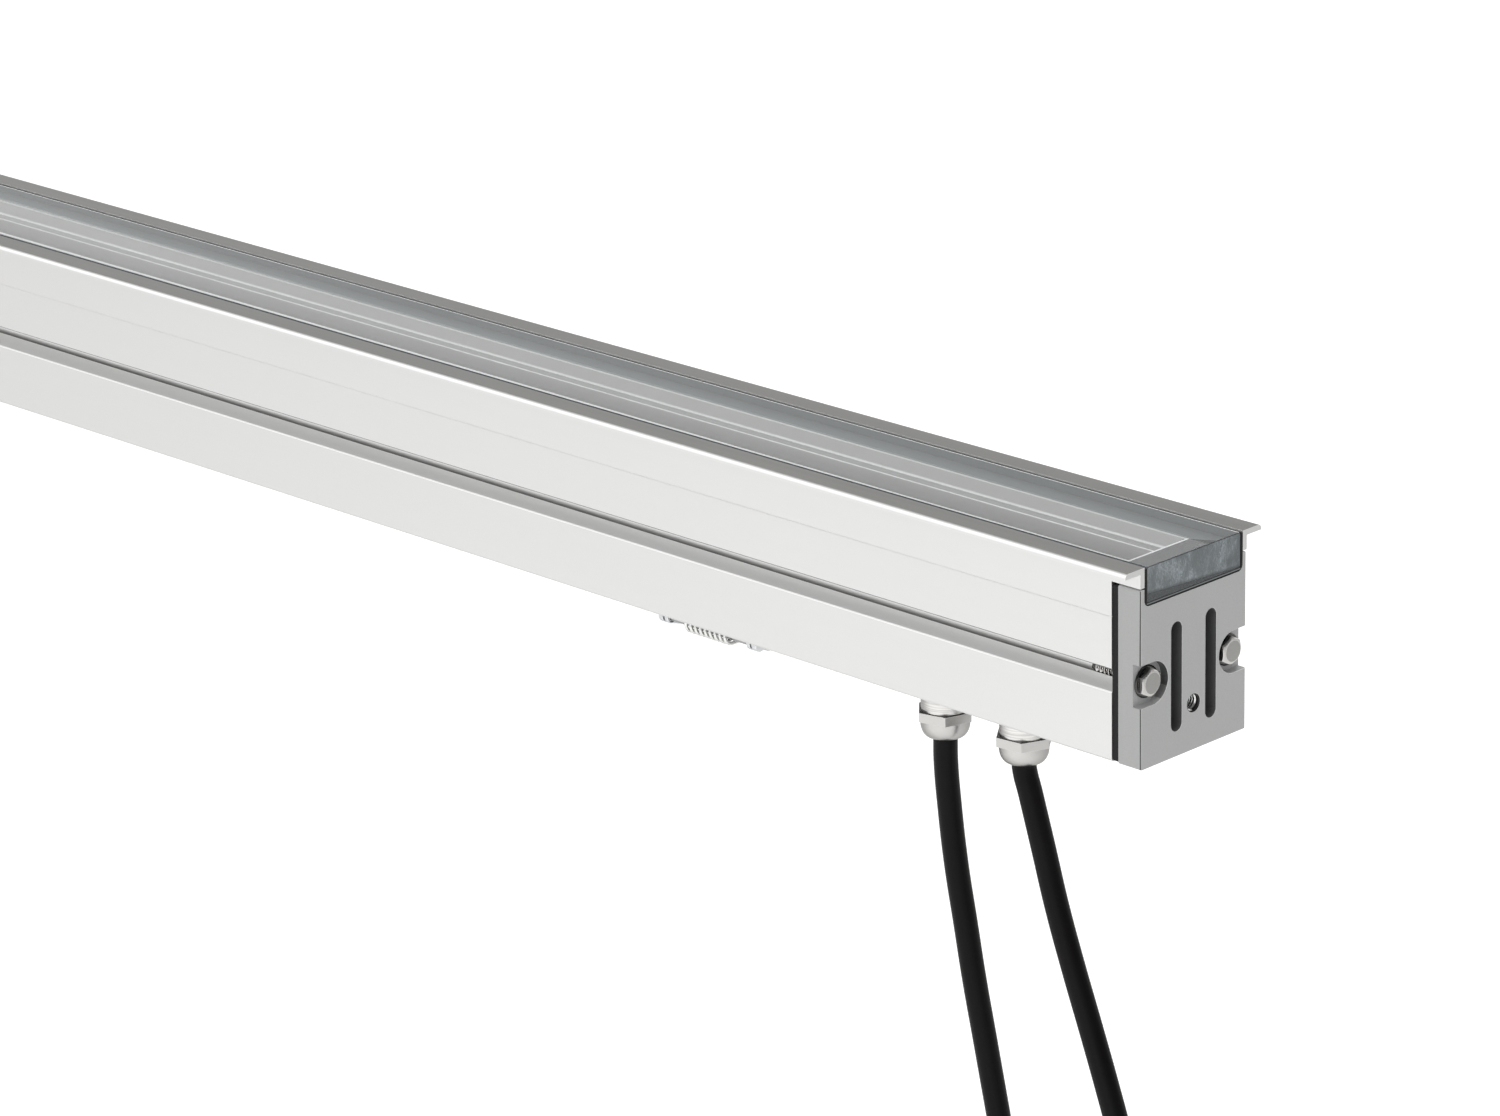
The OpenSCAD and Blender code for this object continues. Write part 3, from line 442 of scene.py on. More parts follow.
# Polished steel painted near black as a dark reflection, with a painted highlight on its edges
dark_reflection_steel = worked(
    "screw flank, painted dark reflection", (0.09, 0.089, 0.086), 0.14, 1.0, fineness=900, grain=3,
    marks=0.15, edge_colour=(0.80, 0.79, 0.78), edge_width=0.3, edge_strength=1.5,
)


def nickel_plate():
    """Nickel, with painted shade where it turns away from the eye; the collars have turned rings."""
    finish = Finish("nickel plate", (0.66, 0.65, 0.63), 0.30, 1.0)
    tree = finish.tree
    grains = finish.group("grain", Fineness=1500)
    turned_lines = noise(tree, (0.02, 0.02, 1), 2200, 3, 0.7)
    rings = math_node(tree, "MULTIPLY", turned_lines, finish.height(*COLLAR_LOW))
    facing = add_node(tree, "LayerWeight", {"Blend": 0.5}).outputs["Facing"]
    grazing_shade = spread(tree, facing, 0.25, 0.85)
    near = finish.mix(spread(tree, rings, 0.40, 0.60), (0.58, 0.571, 0.554), (0.80, 0.79, 0.77))
    base = finish.mix(grazing_shade, near, (0.28, 0.274, 0.262))
    edge = finish.group("edge", Width=0.4*MM, Strength=2)
    finish.feed("Base Color", finish.mix(edge, base, (0.92, 0.91, 0.89)))
    finish.bump((grains, 4), (rings, 20))
    return finish.material


nickel = nickel_plate()
nickel_shade = worked("nickel in the shade", (0.07, 0.069, 0.066), 0.4, 1.0, grain=4, marks=0.1)
sheath = worked(
    "cable sheath", (0.0045, 0.0038, 0.0040), 0.40, 0.0, fineness=1300, grain=20,
    marks=0.3, specular_ior_level=0.12,
)
spring_steel = worked(
    "spring wire", (0.80, 0.80, 0.78), 0.20, 1.0, fineness=1200, grain=3, marks=0.10,
)
pin_steel = worked("pin steel", (0.40, 0.40, 0.405), 0.35, 1.0, grain=4, marks=0.15)
catch_steel = worked(
    "zinc plate", (0.74, 0.75, 0.76), 0.32, 1.0, fineness=700, grain=10, marks=0.10,
    edge_colour=(0.92, 0.92, 0.92), edge_width=0.5,
)
phosphor = worked("phosphor", (0.86, 0.62, 0.10), 0.35, 0.0, grain=4, marks=0.05)
package = worked("chip package", (0.82, 0.82, 0.79), 0.42, 0.0, grain=4, marks=0.03)
ivory = worked("ivory nylon", (0.74, 0.68, 0.54), 0.45, 0.0, grain=10, marks=0.04)
white_plastic = worked("white moulding", (0.74, 0.74, 0.71), 0.46, 0.0, grain=10, marks=0.04)
lid_sheet = worked("lid sheet", (0.62, 0.63, 0.64), 0.40, 1.0, grain=6, marks=0.06, lines=0.05)
brass = worked("brass", (0.72, 0.50, 0.20), 0.28, 1.0, grain=4, marks=0.1)
lead_brown, lead_blue, lead_green, lead_red, lead_black = (
    worked(name, colour, 0.42, 0.0, grain=6, marks=0.1)
    for name, colour in (
        ("brown core", (0.13, 0.055, 0.025)), ("blue core", (0.03, 0.11, 0.42)),
        ("green core", (0.12, 0.36, 0.05)), ("red lead", (0.42, 0.03, 0.02)),
        ("black lead", (0.012, 0.012, 0.012)),
    )
)
slot_shade = worked(
    "slot walls, painted shade", (0.10, 0.10, 0.101), 0.7, 0.0, fineness=1500, grain=30, marks=0.2,
    specular_ior_level=0.25,
)
thread_metal = worked(
    "cut thread", (0.88, 0.88, 0.87), 0.20, 1.0, fineness=1500, grain=4, marks=0.1,
)
hole_shade = worked("tapped hole, painted shade", (0.018, 0.018, 0.018), 0.5, 0.3, grain=10, marks=0.2)
tin = worked("tinned copper", (0.70, 0.70, 0.69), 0.30, 1.0, grain=6, marks=0.08)


def grind(finish, tint):
    """The sawn and ground end of the glass: pale streaks over a slanting dark band."""
    tree = finish.tree
    streaks = noise(tree, (1, 1, 0.30), 1500, 5, 0.8, 2.2)
    patches = noise(tree, (1, 1, 0.7), 130, 3, 0.6, 0.6)
    streaks = math_node(tree, "MULTIPLY", math_node(tree, "ADD", patches, 0.5), streaks)
    fine = noise(tree, EVEN, 2400, 2, 0.6)
    low, high = GROUND_BAND
    slanted = toward(tree, object_place(tree), (0, GROUND_SLANT, 1))
    height = spread(tree, slanted, low*MM, high*MM)
    frosted = finish.mix(spread(tree, streaks, 0.46, 0.72), shade(tint, 0.72), shade(tint, 2.3))
    finish.feed("Base Color", finish.mix(height, shade(tint, 0.26), frosted))
    finish.feed("Roughness", finish.between(height, 0.25, 0.6))
    finish.bump((streaks, 50), (fine, 20))


def clear(name, tint, rough, ior, ground=False):
    """Clear glass or resin that lets light through to what lies under it."""
    finish = Finish(name, tint, rough, 0.0, transmission_weight=0.5 if ground else 1.0, ior=ior)
    tree = finish.tree
    if ground:
        grind(finish, tint)
    else:
        soft = finish.group("handling", Size=40)
        finish.feed("Roughness", finish.between(soft, rough*0.6, rough*1.6))
        finish.bump((finish.group("grain", Fineness=500), 2))
    path = tree.nodes.new("ShaderNodeLightPath")
    plain = math_node(
        tree, "MAXIMUM", path.outputs["Is Shadow Ray"], path.outputs["Is Diffuse Ray"]
    )
    through = add_node(tree, "BsdfTransparent", {"Color": shade(tint, 0.97)}).outputs[0]
    choose = add_node(tree, "MixShader", {0: plain, 1: finish.shader.outputs[0], 2: through})
    tree.links.new(choose.outputs[0], finish.output.inputs["Surface"])
    return finish.material


cover_glass = clear("cover glass", (0.955, 0.966, 0.966), 0.02, 1.5)
ground_glass = clear("ground glass", (0.30, 0.335, 0.352), 0.5, 1.5, ground=True)
cut_arris = worked("cut arris", (0.05, 0.055, 0.057), 0.6, 0.0, grain=10, marks=0.05)
far_arris_highlight = worked("far arris, ground and painted highlight", (0.86, 0.87, 0.87), 0.5, 0.0, grain=10, marks=0.05)
# The resin's grey tint is painted shade over the boards
lens_resin = clear("resin of the lenses, grey tint as painted shade", (0.74, 0.745, 0.74), 0.06, 1.49)


# Pieces: shared tools

def face_outward(bm):
    bmesh.ops.recalc_face_normals(bm, faces=bm.faces)


def bevel(bm, edges, width, segments=1, material=-1):
    """Cuts the edges back by a width in mm."""
    bmesh.ops.bevel(
        bm, geom=edges, offset=width*MM, offset_type="OFFSET", segments=segments, profile=0.5,
        affect="EDGES", clamp_overlap=True, material=material,
    )


def soften(bm, width, segments=2, sharp_angle=30):
    """Rounds the edges that turn by more than the sharp angle."""
    sharp = [
        edge for edge in bm.edges
        if len(edge.link_faces) == 2 and edge.calc_face_angle(0) > math.radians(sharp_angle)
    ]
    bevel(bm, sharp, width, segments)


def merged(node):
    """A copy of a node's mesh, with its doubles merged and its flat faces whole."""
    bm = bmesh.new()
    bm.from_mesh(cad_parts[node].data)
    bmesh.ops.remove_doubles(bm, verts=bm.verts, dist=1e-6)
    bmesh.ops.dissolve_limit(
        bm, angle_limit=math.radians(0.5), verts=bm.verts, edges=bm.edges
    )
    return bm


def softened(node, width):
    """A merged copy of a node, with its sharp edges rounded."""
    bm = merged(node)
    soften(bm, width)
    return bm


def paint(bm, finishes, finish_of):
    """Gives each face that has the first finish the one that finish_of names for it."""
    for face in bm.faces:
        if face.material_index == 0:
            face.material_index = finishes.index(finish_of(face))


def add_piece(bm, name, body, slot, materials, *nodes, smooth=36, outward=True):
    if outward:
        face_outward(bm)
    mesh = bpy.data.meshes.new(name)
    bm.to_mesh(mesh)
    bm.free()
    for material in materials if isinstance(materials, list) else [materials]:
        mesh.materials.append(material)
    mesh.shade_smooth()
    mesh.set_sharp_from_angle(angle=math.radians(smooth))
    obj = new_object(name, mesh)
    level = obj.modifiers.new("level faces", "WEIGHTED_NORMAL")
    level.mode = "FACE_AREA"
    level.weight = 50
    level.keep_sharp = True
    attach(obj, body)
    if nodes:
        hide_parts(*nodes)
    return obj


def turned(outline, steps=48):
    """A closed shape turned about Z from its outline of (radius, height) pairs."""
    bm = bmesh.new()
    verts = [bm.verts.new(mm(radius, 0, height)) for radius, height in outline]
    edges = [bm.edges.new(pair) for pair in zip(verts, verts[1:])]
    bmesh.ops.spin(
        bm, geom=verts + edges, cent=(0, 0, 0), axis=UP, angle=FULL_TURN, steps=steps,
        use_merge=True,
    )
    bmesh.ops.remove_doubles(bm, verts=bm.verts, dist=1e-7)
    face_outward(bm)
    return bm


def add_to(whole, part, matrix=Matrix()):
    """The part, moved by the matrix, joins the whole."""
    mesh = bpy.data.meshes.new("passing")
    part.transform(matrix)
    part.to_mesh(mesh)
    part.free()
    whole.from_mesh(mesh)
    bpy.data.meshes.remove(mesh)


def laid(x, y, z, way=1):
    """Lays what stands about Z along X, with its top outward, at a place in mm."""
    return Matrix.Translation(mm(x, y, z)) @ Matrix.Rotation(way*math.pi/2, 4, "Y")


def hexagon(flats, low, high, turn):
    """A six-sided bar about Z, between two heights."""
    bm = bmesh.new()
    corner = flats/2/math.cos(math.pi/6)*MM
    bmesh.ops.create_cone(
        bm, cap_ends=True, segments=6, radius1=corner, radius2=corner, depth=(high - low)*MM
    )
    bmesh.ops.rotate(bm, verts=bm.verts, matrix=Matrix.Rotation(math.radians(turn), 3, "Z"))
    bmesh.ops.translate(bm, verts=bm.verts, vec=mm(0, 0, (high + low)/2))
    face_outward(bm)
    return bm


def cut_corners(bm, radius, top, slant, cuts=30):
    """Cuts the top of a bar back to a cone that meets its top face at the radius."""
    lean = math.radians(slant)
    for step in range(cuts):
        angle = FULL_TURN*(step + 0.5)/cuts
        away = Vector((math.cos(angle), math.sin(angle), 0))
        cut = bmesh.ops.bisect_plane(
            bm, geom=bm.verts[:] + bm.edges[:] + bm.faces[:], dist=1e-8,
            plane_co=away*radius*MM + mm(0, 0, top),
            plane_no=away*math.sin(lean) + Vector(UP)*math.cos(lean), clear_outer=True,
        )["geom_cut"]
        rim = [part for part in cut if isinstance(part, bmesh.types.BMEdge) and part.is_boundary]
        if rim:
            bmesh.ops.contextual_create(bm, geom=rim)
    bmesh.ops.remove_doubles(bm, verts=bm.verts, dist=1e-7)
    face_outward(bm)


THREAD_STEPS = 18
THREAD_CREST_SHARE = 0.08
THREAD_FOOT_SHARE = 0.40


def ridge(root, crest, low, high, pitch):
    """One thread wound to the right about Z, from a root radius to a crest radius."""
    bm = bmesh.new()
    foot = THREAD_FOOT_SHARE*pitch
    flat = THREAD_CREST_SHARE*pitch
    section = [(root, low - foot), (crest, low - flat), (crest, low + flat), (root, low + foot)]
    face = bm.faces.new([bm.verts.new(mm(radius, 0, height)) for radius, height in section])
    count = round((high - low)/pitch*THREAD_STEPS)
    bmesh.ops.spin(
        bm, geom=[face], cent=(0, 0, 0), axis=UP, dvec=mm(0, 0, pitch/THREAD_STEPS),
        angle=FULL_TURN*count/THREAD_STEPS, steps=count,
    )
    face_outward(bm)
    return bm


def prism(outline, x0, x1):
    """A closed bar along X from its outline of (y, z) points, with one face for each side."""
    bm = bmesh.new()
    rings = [[bm.verts.new(mm(x, y, z)) for y, z in outline] for x in (x0, x1)]
    count = len(outline)
    for i in range(count):
        j = (i + 1)%count
        bm.faces.new((rings[0][i], rings[0][j], rings[1][j], rings[1][i]))
    for ring in rings:
        bm.faces.new(ring)
    face_outward(bm)
    bm.faces.ensure_lookup_table()
    return bm


# Cables: each follows the route of its node

CABLE_R = 3.8
ROUTES = {
    "supply_cable": (400.5, [
        [0, 0, 0], [0, 0, -8], [1.5, 0, -24], [4, 0, -42], [7.5, 0, -60], [11, 0, -78],
        [14.5, 0.5, -96], [18, 1, -114], [21.5, 1.5, -132], [24.5, 2.5, -150], [27.5, 3.5, -168],
        [30, 4.5, -186], [32, 5.5, -204], [33.5, 6, -222], [34.5, 6.5, -240], [35, 6.5, -258],
        [35, 6.5, -276], [34.5, 6, -294], [33.5, 5.5, -312], [32.5, 5, -330], [32, 5, -346],
        [32, 5, -354],
    ]),
    "link_cable": (433.0, [
        [0, 0, 0], [0, 0, -2], [2.5, 0, -10], [7.5, 0, -26], [13, 0, -44], [19.5, 0, -62],
        [26.5, 0, -80], [33.5, -0.5, -97], [40, -1, -114], [46, -2, -132], [51, -3, -150],
        [55.5, -4, -168], [59, -5, -186], [62, -6, -204], [64.5, -6.5, -222], [66, -7, -240],
        [67, -7.5, -258], [67, -7.5, -276], [66.5, -7.5, -294], [65.5, -7, -312], [64.5, -6.5, -330],
        [64, -6.5, -346], [64, -6.5, -354],
    ]),
}
GLAND_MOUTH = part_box("gland_nuts")[0].z


def route_points(name):
    x, route = ROUTES[name]
    return [Vector((0, 0, GLAND_MOUTH)) + mm(x + p[0], p[1], p[2]) for p in route]


def wire(name, points, radius, fineness, material, kind="POLY"):
    """A round bar of one open spline through the points."""
    curve = bpy.data.curves.new(name, "CURVE")
    curve.dimensions = "3D"
    curve.bevel_depth = radius*MM
    curve.bevel_resolution = fineness
    curve.use_fill_caps = True
    curve.resolution_u = 6
    spline = curve.splines.new(kind)
    if kind == "BEZIER":
        spline.bezier_points.add(len(points) - 1)
        for knot, point in zip(spline.bezier_points, points):
            knot.co = point
            knot.handle_left_type = knot.handle_right_type = "AUTO"
    else:
        spline.points.add(len(points) - 1)
        for knot, point in zip(spline.points, points):
            knot.co = (*point, 1)
        spline.use_smooth = True
    curve.materials.append(material)
    return new_object(name, curve)


CORE_R = 1.1
CORE_RING = 1.364
CORE_L = 30
FERRULE_R = 0.7
FERRULE_L = 8
STUB_CUT = 0.1
CORES = (("green", 90, lead_green), ("brown", 210, lead_brown), ("blue", 330, lead_blue))


def stub(radius, top, length, steps):
    """A short round bar that hangs from a height, with its lower edge cut back."""
    low = top - length
    return turned([
        (0, top), (radius, top), (radius, low + STUB_CUT), (radius - STUB_CUT, low), (0, low)
    ], steps)


def core_end(name, low, angle, colour):
    """One core past the sheath, with its ferrule."""
    spot = mm(CORE_RING*math.cos(angle), CORE_RING*math.sin(angle), 0)
    stand = Matrix.Translation(low + spot)
    core = stub(CORE_R, 0, CORE_L, 20)
    core.transform(stand)
    ferrule = stub(FERRULE_R, -CORE_L, FERRULE_L, 16)
    ferrule.transform(stand)
    return [
        add_piece(core, name + "_core", LIGHT, "lead_insulation", colour, "cable_cores"),
        add_piece(ferrule, name + "_ferrule", LIGHT, "ferrule_tin", tin, "cable_ferrules"),
    ]


def cables():
    for cable in ROUTES:
        points = route_points(cable)
        obj = wire(cable + "_sheath", points, CABLE_R, 6, sheath, "BEZIER")
        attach(obj, LIGHT)
        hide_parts(cable)
        ends = []
        for colour_name, angle, colour in CORES:
            ends += core_end(cable + "_" + colour_name, points[-1], math.radians(angle), colour)


cables()


# Where the housing and its ends have their parts

HALF_L = 500.0
SIDE_Y = 23.5
PORT_Y = 17.9
PORT_Z = -34.6
HOLE_Z = -45.7
POCKET_X = 497.1
NEAR = 0.1


def placed(face):
    """Where a face's middle lies in mm: from mid-length, from the centre line, and up."""
    middle = face.calc_center_median()/MM
    return abs(middle.x), abs(middle.y), middle.z


# Housing, with brushed lips in painted shade, painted highlights on their round edges and on the
# groove's lower edge, and a painted shadow line above the groove

LIP_TOP_Z = 1.8
LIP_EDGE_Y = 28.65
LIP_EDGE_Z = 0.3
LINE_Z = -15.3
LINE_HALF = 0.3
CHANNEL_R = 2.25
GROOVE_TOP_Z = -31.55
GROOVE_TOP_CUT = 0.36
GROOVE_LOW_Z = -38.6
GROOVE_LOW_CUT = 0.3
HOUSING_ROUND = 0.18
HOUSING_FINISHES = [anodised, shaded_lip_top, channel, lip_highlight, shadow_line, edge_pale, highlight_line]


def on_side(edge, z):
    """Whether an edge lies on a side face at a height."""
    middle = (edge.verts[0].co + edge.verts[1].co)/2/MM
    return abs(abs(middle.y) - SIDE_Y) < 0.01 and abs(middle.z - z) < 0.01


def housing_finish(face):
    x, y, z = placed(face)
    along = abs(face.normal.x) < 0.5
    # Up-facing lip tops are brushed and painted darker than the side as shade
    if face.normal.z > 0.99 and z > LIP_TOP_Z - NEAR:
        return shaded_lip_top
    if along and y > LIP_EDGE_Y and z > LIP_EDGE_Z:
        return lip_highlight
    if SIDE_Y - LINE_HALF < y < SIDE_Y - 0.01 and abs(z - LINE_Z) < LINE_HALF:
        return edge_pale
    if along and Vector((y - PORT_Y, z - PORT_Z)).length < CHANNEL_R:
        return channel
    return anodised


def housing():
    bm = merged("housing")
    # The groove's lower edge is painted white as a highlight line, its top edge dark as a shadow
    # line
    for z, width, finish in (
        (GROOVE_LOW_Z, GROOVE_LOW_CUT, highlight_line), (GROOVE_TOP_Z, GROOVE_TOP_CUT, shadow_line)
    ):
        edges = [edge for edge in bm.edges if on_side(edge, z)]
        bevel(bm, edges, width, material=HOUSING_FINISHES.index(finish))
    soften(bm, HOUSING_ROUND, sharp_angle=50)
    paint(bm, HOUSING_FINISHES, housing_finish)
    add_piece(bm, "body_profile", LIGHT, "anodised_aluminium", HOUSING_FINISHES, "housing")


housing()


# End castings: two slots, a tapped hole and a pocket for the screw on each side

ENDS = {"right": 1, "left": -1}
PLATE_X = 493.2
CASTING_ROUND = 0.25
SLOT_Y = 7.6
SLOT_REACH = 2.6
SLOT_LOW_Z = -52.6
SLOT_TOP_Z = -18.2
HOLE_REACH = 3.2
POCKET_R = 6.6
POCKET_SHADE_Z = -2.6
POCKET_LOW_Z = -5.6
CORNER_Y = 23
CASTING_FINISHES = [
    cast, slot_shade, hole_shade, cast_shade, cast_side_shade, cast_corner_shade, cast_rim_highlight, cast_half_shade
]


def casting_finish(face):
    x, y, z = placed(face)
    cut = HALF_L - 0.4
    screw_y, screw_z = y - PORT_Y, z - PORT_Z
    # The slots and the tapped hole are painted near black as shade
    if PLATE_X < x < cut and abs(y - SLOT_Y) < SLOT_REACH and SLOT_LOW_Z < z < SLOT_TOP_Z:
        return slot_shade
    if PLATE_X - 0.2 < x < HALF_L - 0.05 and Vector((y, z - HOLE_Z)).length < HOLE_REACH:
        return hole_shade
    # The pocket wall beside the screw is painted dark as shade, less dark further down
    on_pocket_wall = abs(Vector((screw_y, screw_z)).length - POCKET_R) < 0.3
    if POCKET_X + NEAR < x < cut and on_pocket_wall and screw_y < 0.5 and screw_z > POCKET_LOW_Z:
        return cast_shade if screw_z > POCKET_SHADE_Z else cast_half_shade
    # Side faces are painted darker than the front as shade; the far corner's round is painted dark
    # as shade, the other front rims bright as a highlight
    if abs(face.normal.y) > 0.9:
        return cast_side_shade
    if 0.3 < abs(face.normal.x) < 0.95 and x > cut:
        return cast_corner_shade if y > CORNER_Y else cast_rim_highlight
    return cast


def end_castings():
    for side in ENDS:
        bm = softened("end_plate_" + side, CASTING_ROUND)
        paint(bm, CASTING_FINISHES, casting_finish)
        add_piece(
            bm, "end_casting_" + side, LIGHT, "cast_aluminium", CASTING_FINISHES,
            "end_plate_" + side,
        )


end_castings()


# Border sheet under the glass; the margin round its window is painted bright as a highlight

GLASS_Y = 20.7
GLASS_TOP = 1.6
GLASS_LOW = -9.4
WINDOW_Y = 12.9
WINDOW_X = 486.1
BORDER_T = 0.4
MARGIN_END = 0.75
MARGIN_NEAR = 1.2
MARGIN_FAR = 0.15


def border():
    finishes = [band, rolled_highlight, band_end_shade]
    bm = bmesh.new()
    outlines = (
        (HALF_L, -GLASS_Y, GLASS_Y),
        (WINDOW_X + MARGIN_END, -WINDOW_Y - MARGIN_NEAR, WINDOW_Y + MARGIN_FAR),
        (WINDOW_X, -WINDOW_Y, WINDOW_Y),
    )
    top, low = [
        [
            [bm.verts.new(mm(*corner, z)) for corner in ((-x, y0), (x, y0), (x, y1), (-x, y1))]
            for x, y0, y1 in outlines
        ]
        for z in (GLASS_LOW, GLASS_LOW - BORDER_T)
    ]
    strips = []
    for level in (top, low):
        strips += [(level[0], level[1], band, band_end_shade), (level[1], level[2], rolled_highlight, rolled_highlight)]
    strips += [(top[0], low[0], band, band), (top[2], low[2], rolled_highlight, rolled_highlight)]
    for ring, next_ring, along, at_ends in strips:
        for i in range(4):
            j = (i + 1)%4
            face = bm.faces.new((ring[i], ring[j], next_ring[j], next_ring[i]))
            face.material_index = finishes.index(at_ends if i in (1, 3) else along)
    add_piece(bm, "border_sheet", LIGHT, "grey_band", finishes, "glass_border")


border()


# Reflector rails: an upper wall, a bend painted bright as a highlight, a step in painted shade with
# its outer edge painted bright as a highlight, a lower wall in painted shade

RAIL_TOP_Z = -9.82
RAIL_FLANGE_Z = -10.42
STEP_Z = -14.3
STEP_DROP = 0.5
BOARD_Z = -26.6
RAIL_PLAY = 0.05
RAIL_BEND = 0.55
RAIL_LOW_Y = 9.4
RAIL_OUT_Y = 13.7
RAIL_T = 0.8
RAIL_HALF_L = 484.5


def rails():
    finishes = [reflector, rolled_highlight, reflector_low, step_shade]
    by_side = {2: rolled_highlight, 3: step_shade, 4: rolled_highlight, 5: reflector_low}
    inner = WINDOW_Y - RAIL_PLAY
    back = RAIL_LOW_Y + RAIL_T
    outline = [
        (WINDOW_Y, RAIL_TOP_Z), (inner, RAIL_TOP_Z), (inner, STEP_Z + STEP_DROP),
        (inner - RAIL_BEND, STEP_Z), (RAIL_LOW_Y + 0.25, STEP_Z - 0.32),
        (RAIL_LOW_Y, STEP_Z - STEP_DROP), (RAIL_LOW_Y, BOARD_Z), (back, BOARD_Z),
        (back, STEP_Z - RAIL_T), (RAIL_OUT_Y, STEP_Z - RAIL_T), (RAIL_OUT_Y, RAIL_FLANGE_Z),
        (WINDOW_Y, RAIL_FLANGE_Z),
    ]
    bm = bmesh.new()
    for side in (1, -1):
        rail = prism([(side*y, z) for y, z in outline], -RAIL_HALF_L, RAIL_HALF_L)
        for index, finish in by_side.items():
            rail.faces[index].material_index = finishes.index(finish)
        add_to(bm, rail)
    add_piece(
        bm, "stepped_rails", LIGHT, "reflector_white", finishes, "reflector_rails", smooth=20
    )


rails()


# Glass cover: polished above, its sides opaque grey as a painted reflection of the band, its far
# arris painted white as a highlight, sawn and ground at the ends

GLASS_PLAY = 0.04
GLASS_LIFT = 0.03
GLASS_CHAMFER = 0.4
GLASS_STRIP = 0.3
GLASS_CUT = 0.22


def cover():
    finishes = [cover_glass, ground_glass, far_arris_highlight, side_reflection, cut_arris]
    y = GLASS_Y - GLASS_PLAY
    low = GLASS_LOW + GLASS_LIFT
    b = GLASS_CHAMFER
    bm = prism([
        (-y + b, GLASS_TOP), (y - b - GLASS_STRIP, GLASS_TOP), (y - b, GLASS_TOP),
        (y, GLASS_TOP - b), (y, low + b), (y - b, low), (-y + b, low), (-y, low + b),
        (-y, GLASS_TOP - b),
    ], -HALF_L, HALF_L)
    # The far arris and a strip beside it are painted near white as a highlight
    for index in (1, 2):
        bm.faces[index].material_index = finishes.index(far_arris_highlight)
    for face in bm.faces:
        if abs(face.normal.x) > 0.5:
            face.material_index = finishes.index(ground_glass)
        elif abs(face.normal.y) > 0.9:
            face.material_index = finishes.index(side_reflection)
    round_ends = [
        edge for edge in bm.edges
        if {abs(face.normal.x) > 0.5 for face in edge.link_faces} == {True, False}
    ]
    bevel(bm, round_ends, GLASS_CUT, material=finishes.index(cut_arris))
    add_piece(bm, "glass_cover", LIGHT, "cover_glass", finishes, "glass", smooth=20)


cover()


# Screws of the end plates: tapping thread, domed flange, hexagon cut back to a round face

SCREW_L = 19.8
TIP_R = 1.0
TIP_L = 1.2
SHANK_R = 1.55
THREAD_R = 2.1
THREAD_PITCH = 1.6
NECK_R = 2.0
FLANGE_R = 5.0
FLANGE_ROUND = 0.15
DOME_TOP = 0.9
HEAD_FLATS = 8
HEAD_FOOT = 0.3
HEAD_TOP = 2.8
HEAD_FACE_SHARE = 0.80
HEAD_SLANT = 34
SINK = 0.1


def end_screw():
    finishes = [stainless, head_face, dark_reflection_steel]
    rim = FLANGE_R - FLANGE_ROUND
    bm = turned([
        (0, -SCREW_L), (TIP_R, -SCREW_L), (SHANK_R, TIP_L - SCREW_L), (SHANK_R, -0.9),
        (NECK_R - 0.1, -0.2), (NECK_R, 0), (rim, 0), (FLANGE_R, 0.12), (FLANGE_R, 0.42),
        (rim, 0.58), (rim - 0.55, 0.75), (0, DOME_TOP),
    ])
    # The shank, flange and dome are painted near black as a dark reflection
    paint(bm, finishes, lambda face: dark_reflection_steel)
    add_to(bm, ridge(SHANK_R - SINK, THREAD_R, TIP_L + SINK - SCREW_L, -1.0, THREAD_PITCH))
    head = hexagon(HEAD_FLATS, HEAD_FOOT, HEAD_TOP, 30)
    cut_corners(head, HEAD_FLATS/2*HEAD_FACE_SHARE, HEAD_TOP, HEAD_SLANT)
    paint(head, finishes, lambda face: (
        head_face if face.normal.z > 0.99 else dark_reflection_steel if face.normal.z < 0.3 else stainless
    ))
    add_to(bm, head)
    return bm, finishes


def end_screws():
    for side, way in ENDS.items():
        screws = bmesh.new()
        for y in (-PORT_Y, PORT_Y):
            screw, finishes = end_screw()
            add_to(screws, screw, laid(way*POCKET_X, y, PORT_Z, way))
        add_piece(
            screws, "flange_screws_" + side, LIGHT, "stainless_steel", finishes,
            "end_screws_" + side, outward=False,
        )


end_screws()


# Tapped thread in each end plate

TAP_ROOT_R = 2.62
TAP_CREST_R = 2.12
TAP_PITCH = 0.95
TAP_FROM = 0.2
TAP_TO = 5.9


def tapped_threads():
    for side, way in ENDS.items():
        thread = ridge(TAP_ROOT_R, TAP_CREST_R, TAP_FROM, TAP_TO, TAP_PITCH)
        thread.transform(laid(way*PLATE_X, 0, HOLE_Z, way))
        add_piece(
            thread, "tapped_thread_" + side, LIGHT, "cast_aluminium", thread_metal, outward=False
        )


tapped_threads()


# Glands: collar, hexagon and dome

GLANDS = ((400.5, 43), (433.0, 37))
GLAND_BORE_R = 4.2
GLAND_THREAD_R = 6.0
GLAND_THREAD_L = 8
COLLAR_TOP = -61
COLLAR_R = 7.5
GLAND_NECK_R = 6.3
SEAM = 0.02
GLAND_FLATS = 16
HEX_TOP = -72.2
HEX_LOW = -75.3
HEX_ROUND = 0.12
DOME_R = 7.7
DOME_STRAIGHT = 1.2
DOME_STEPS = 9
MOUTH_R = 4.95
DOME_BORE_R = 4.3
EXIT_Z = -81.1


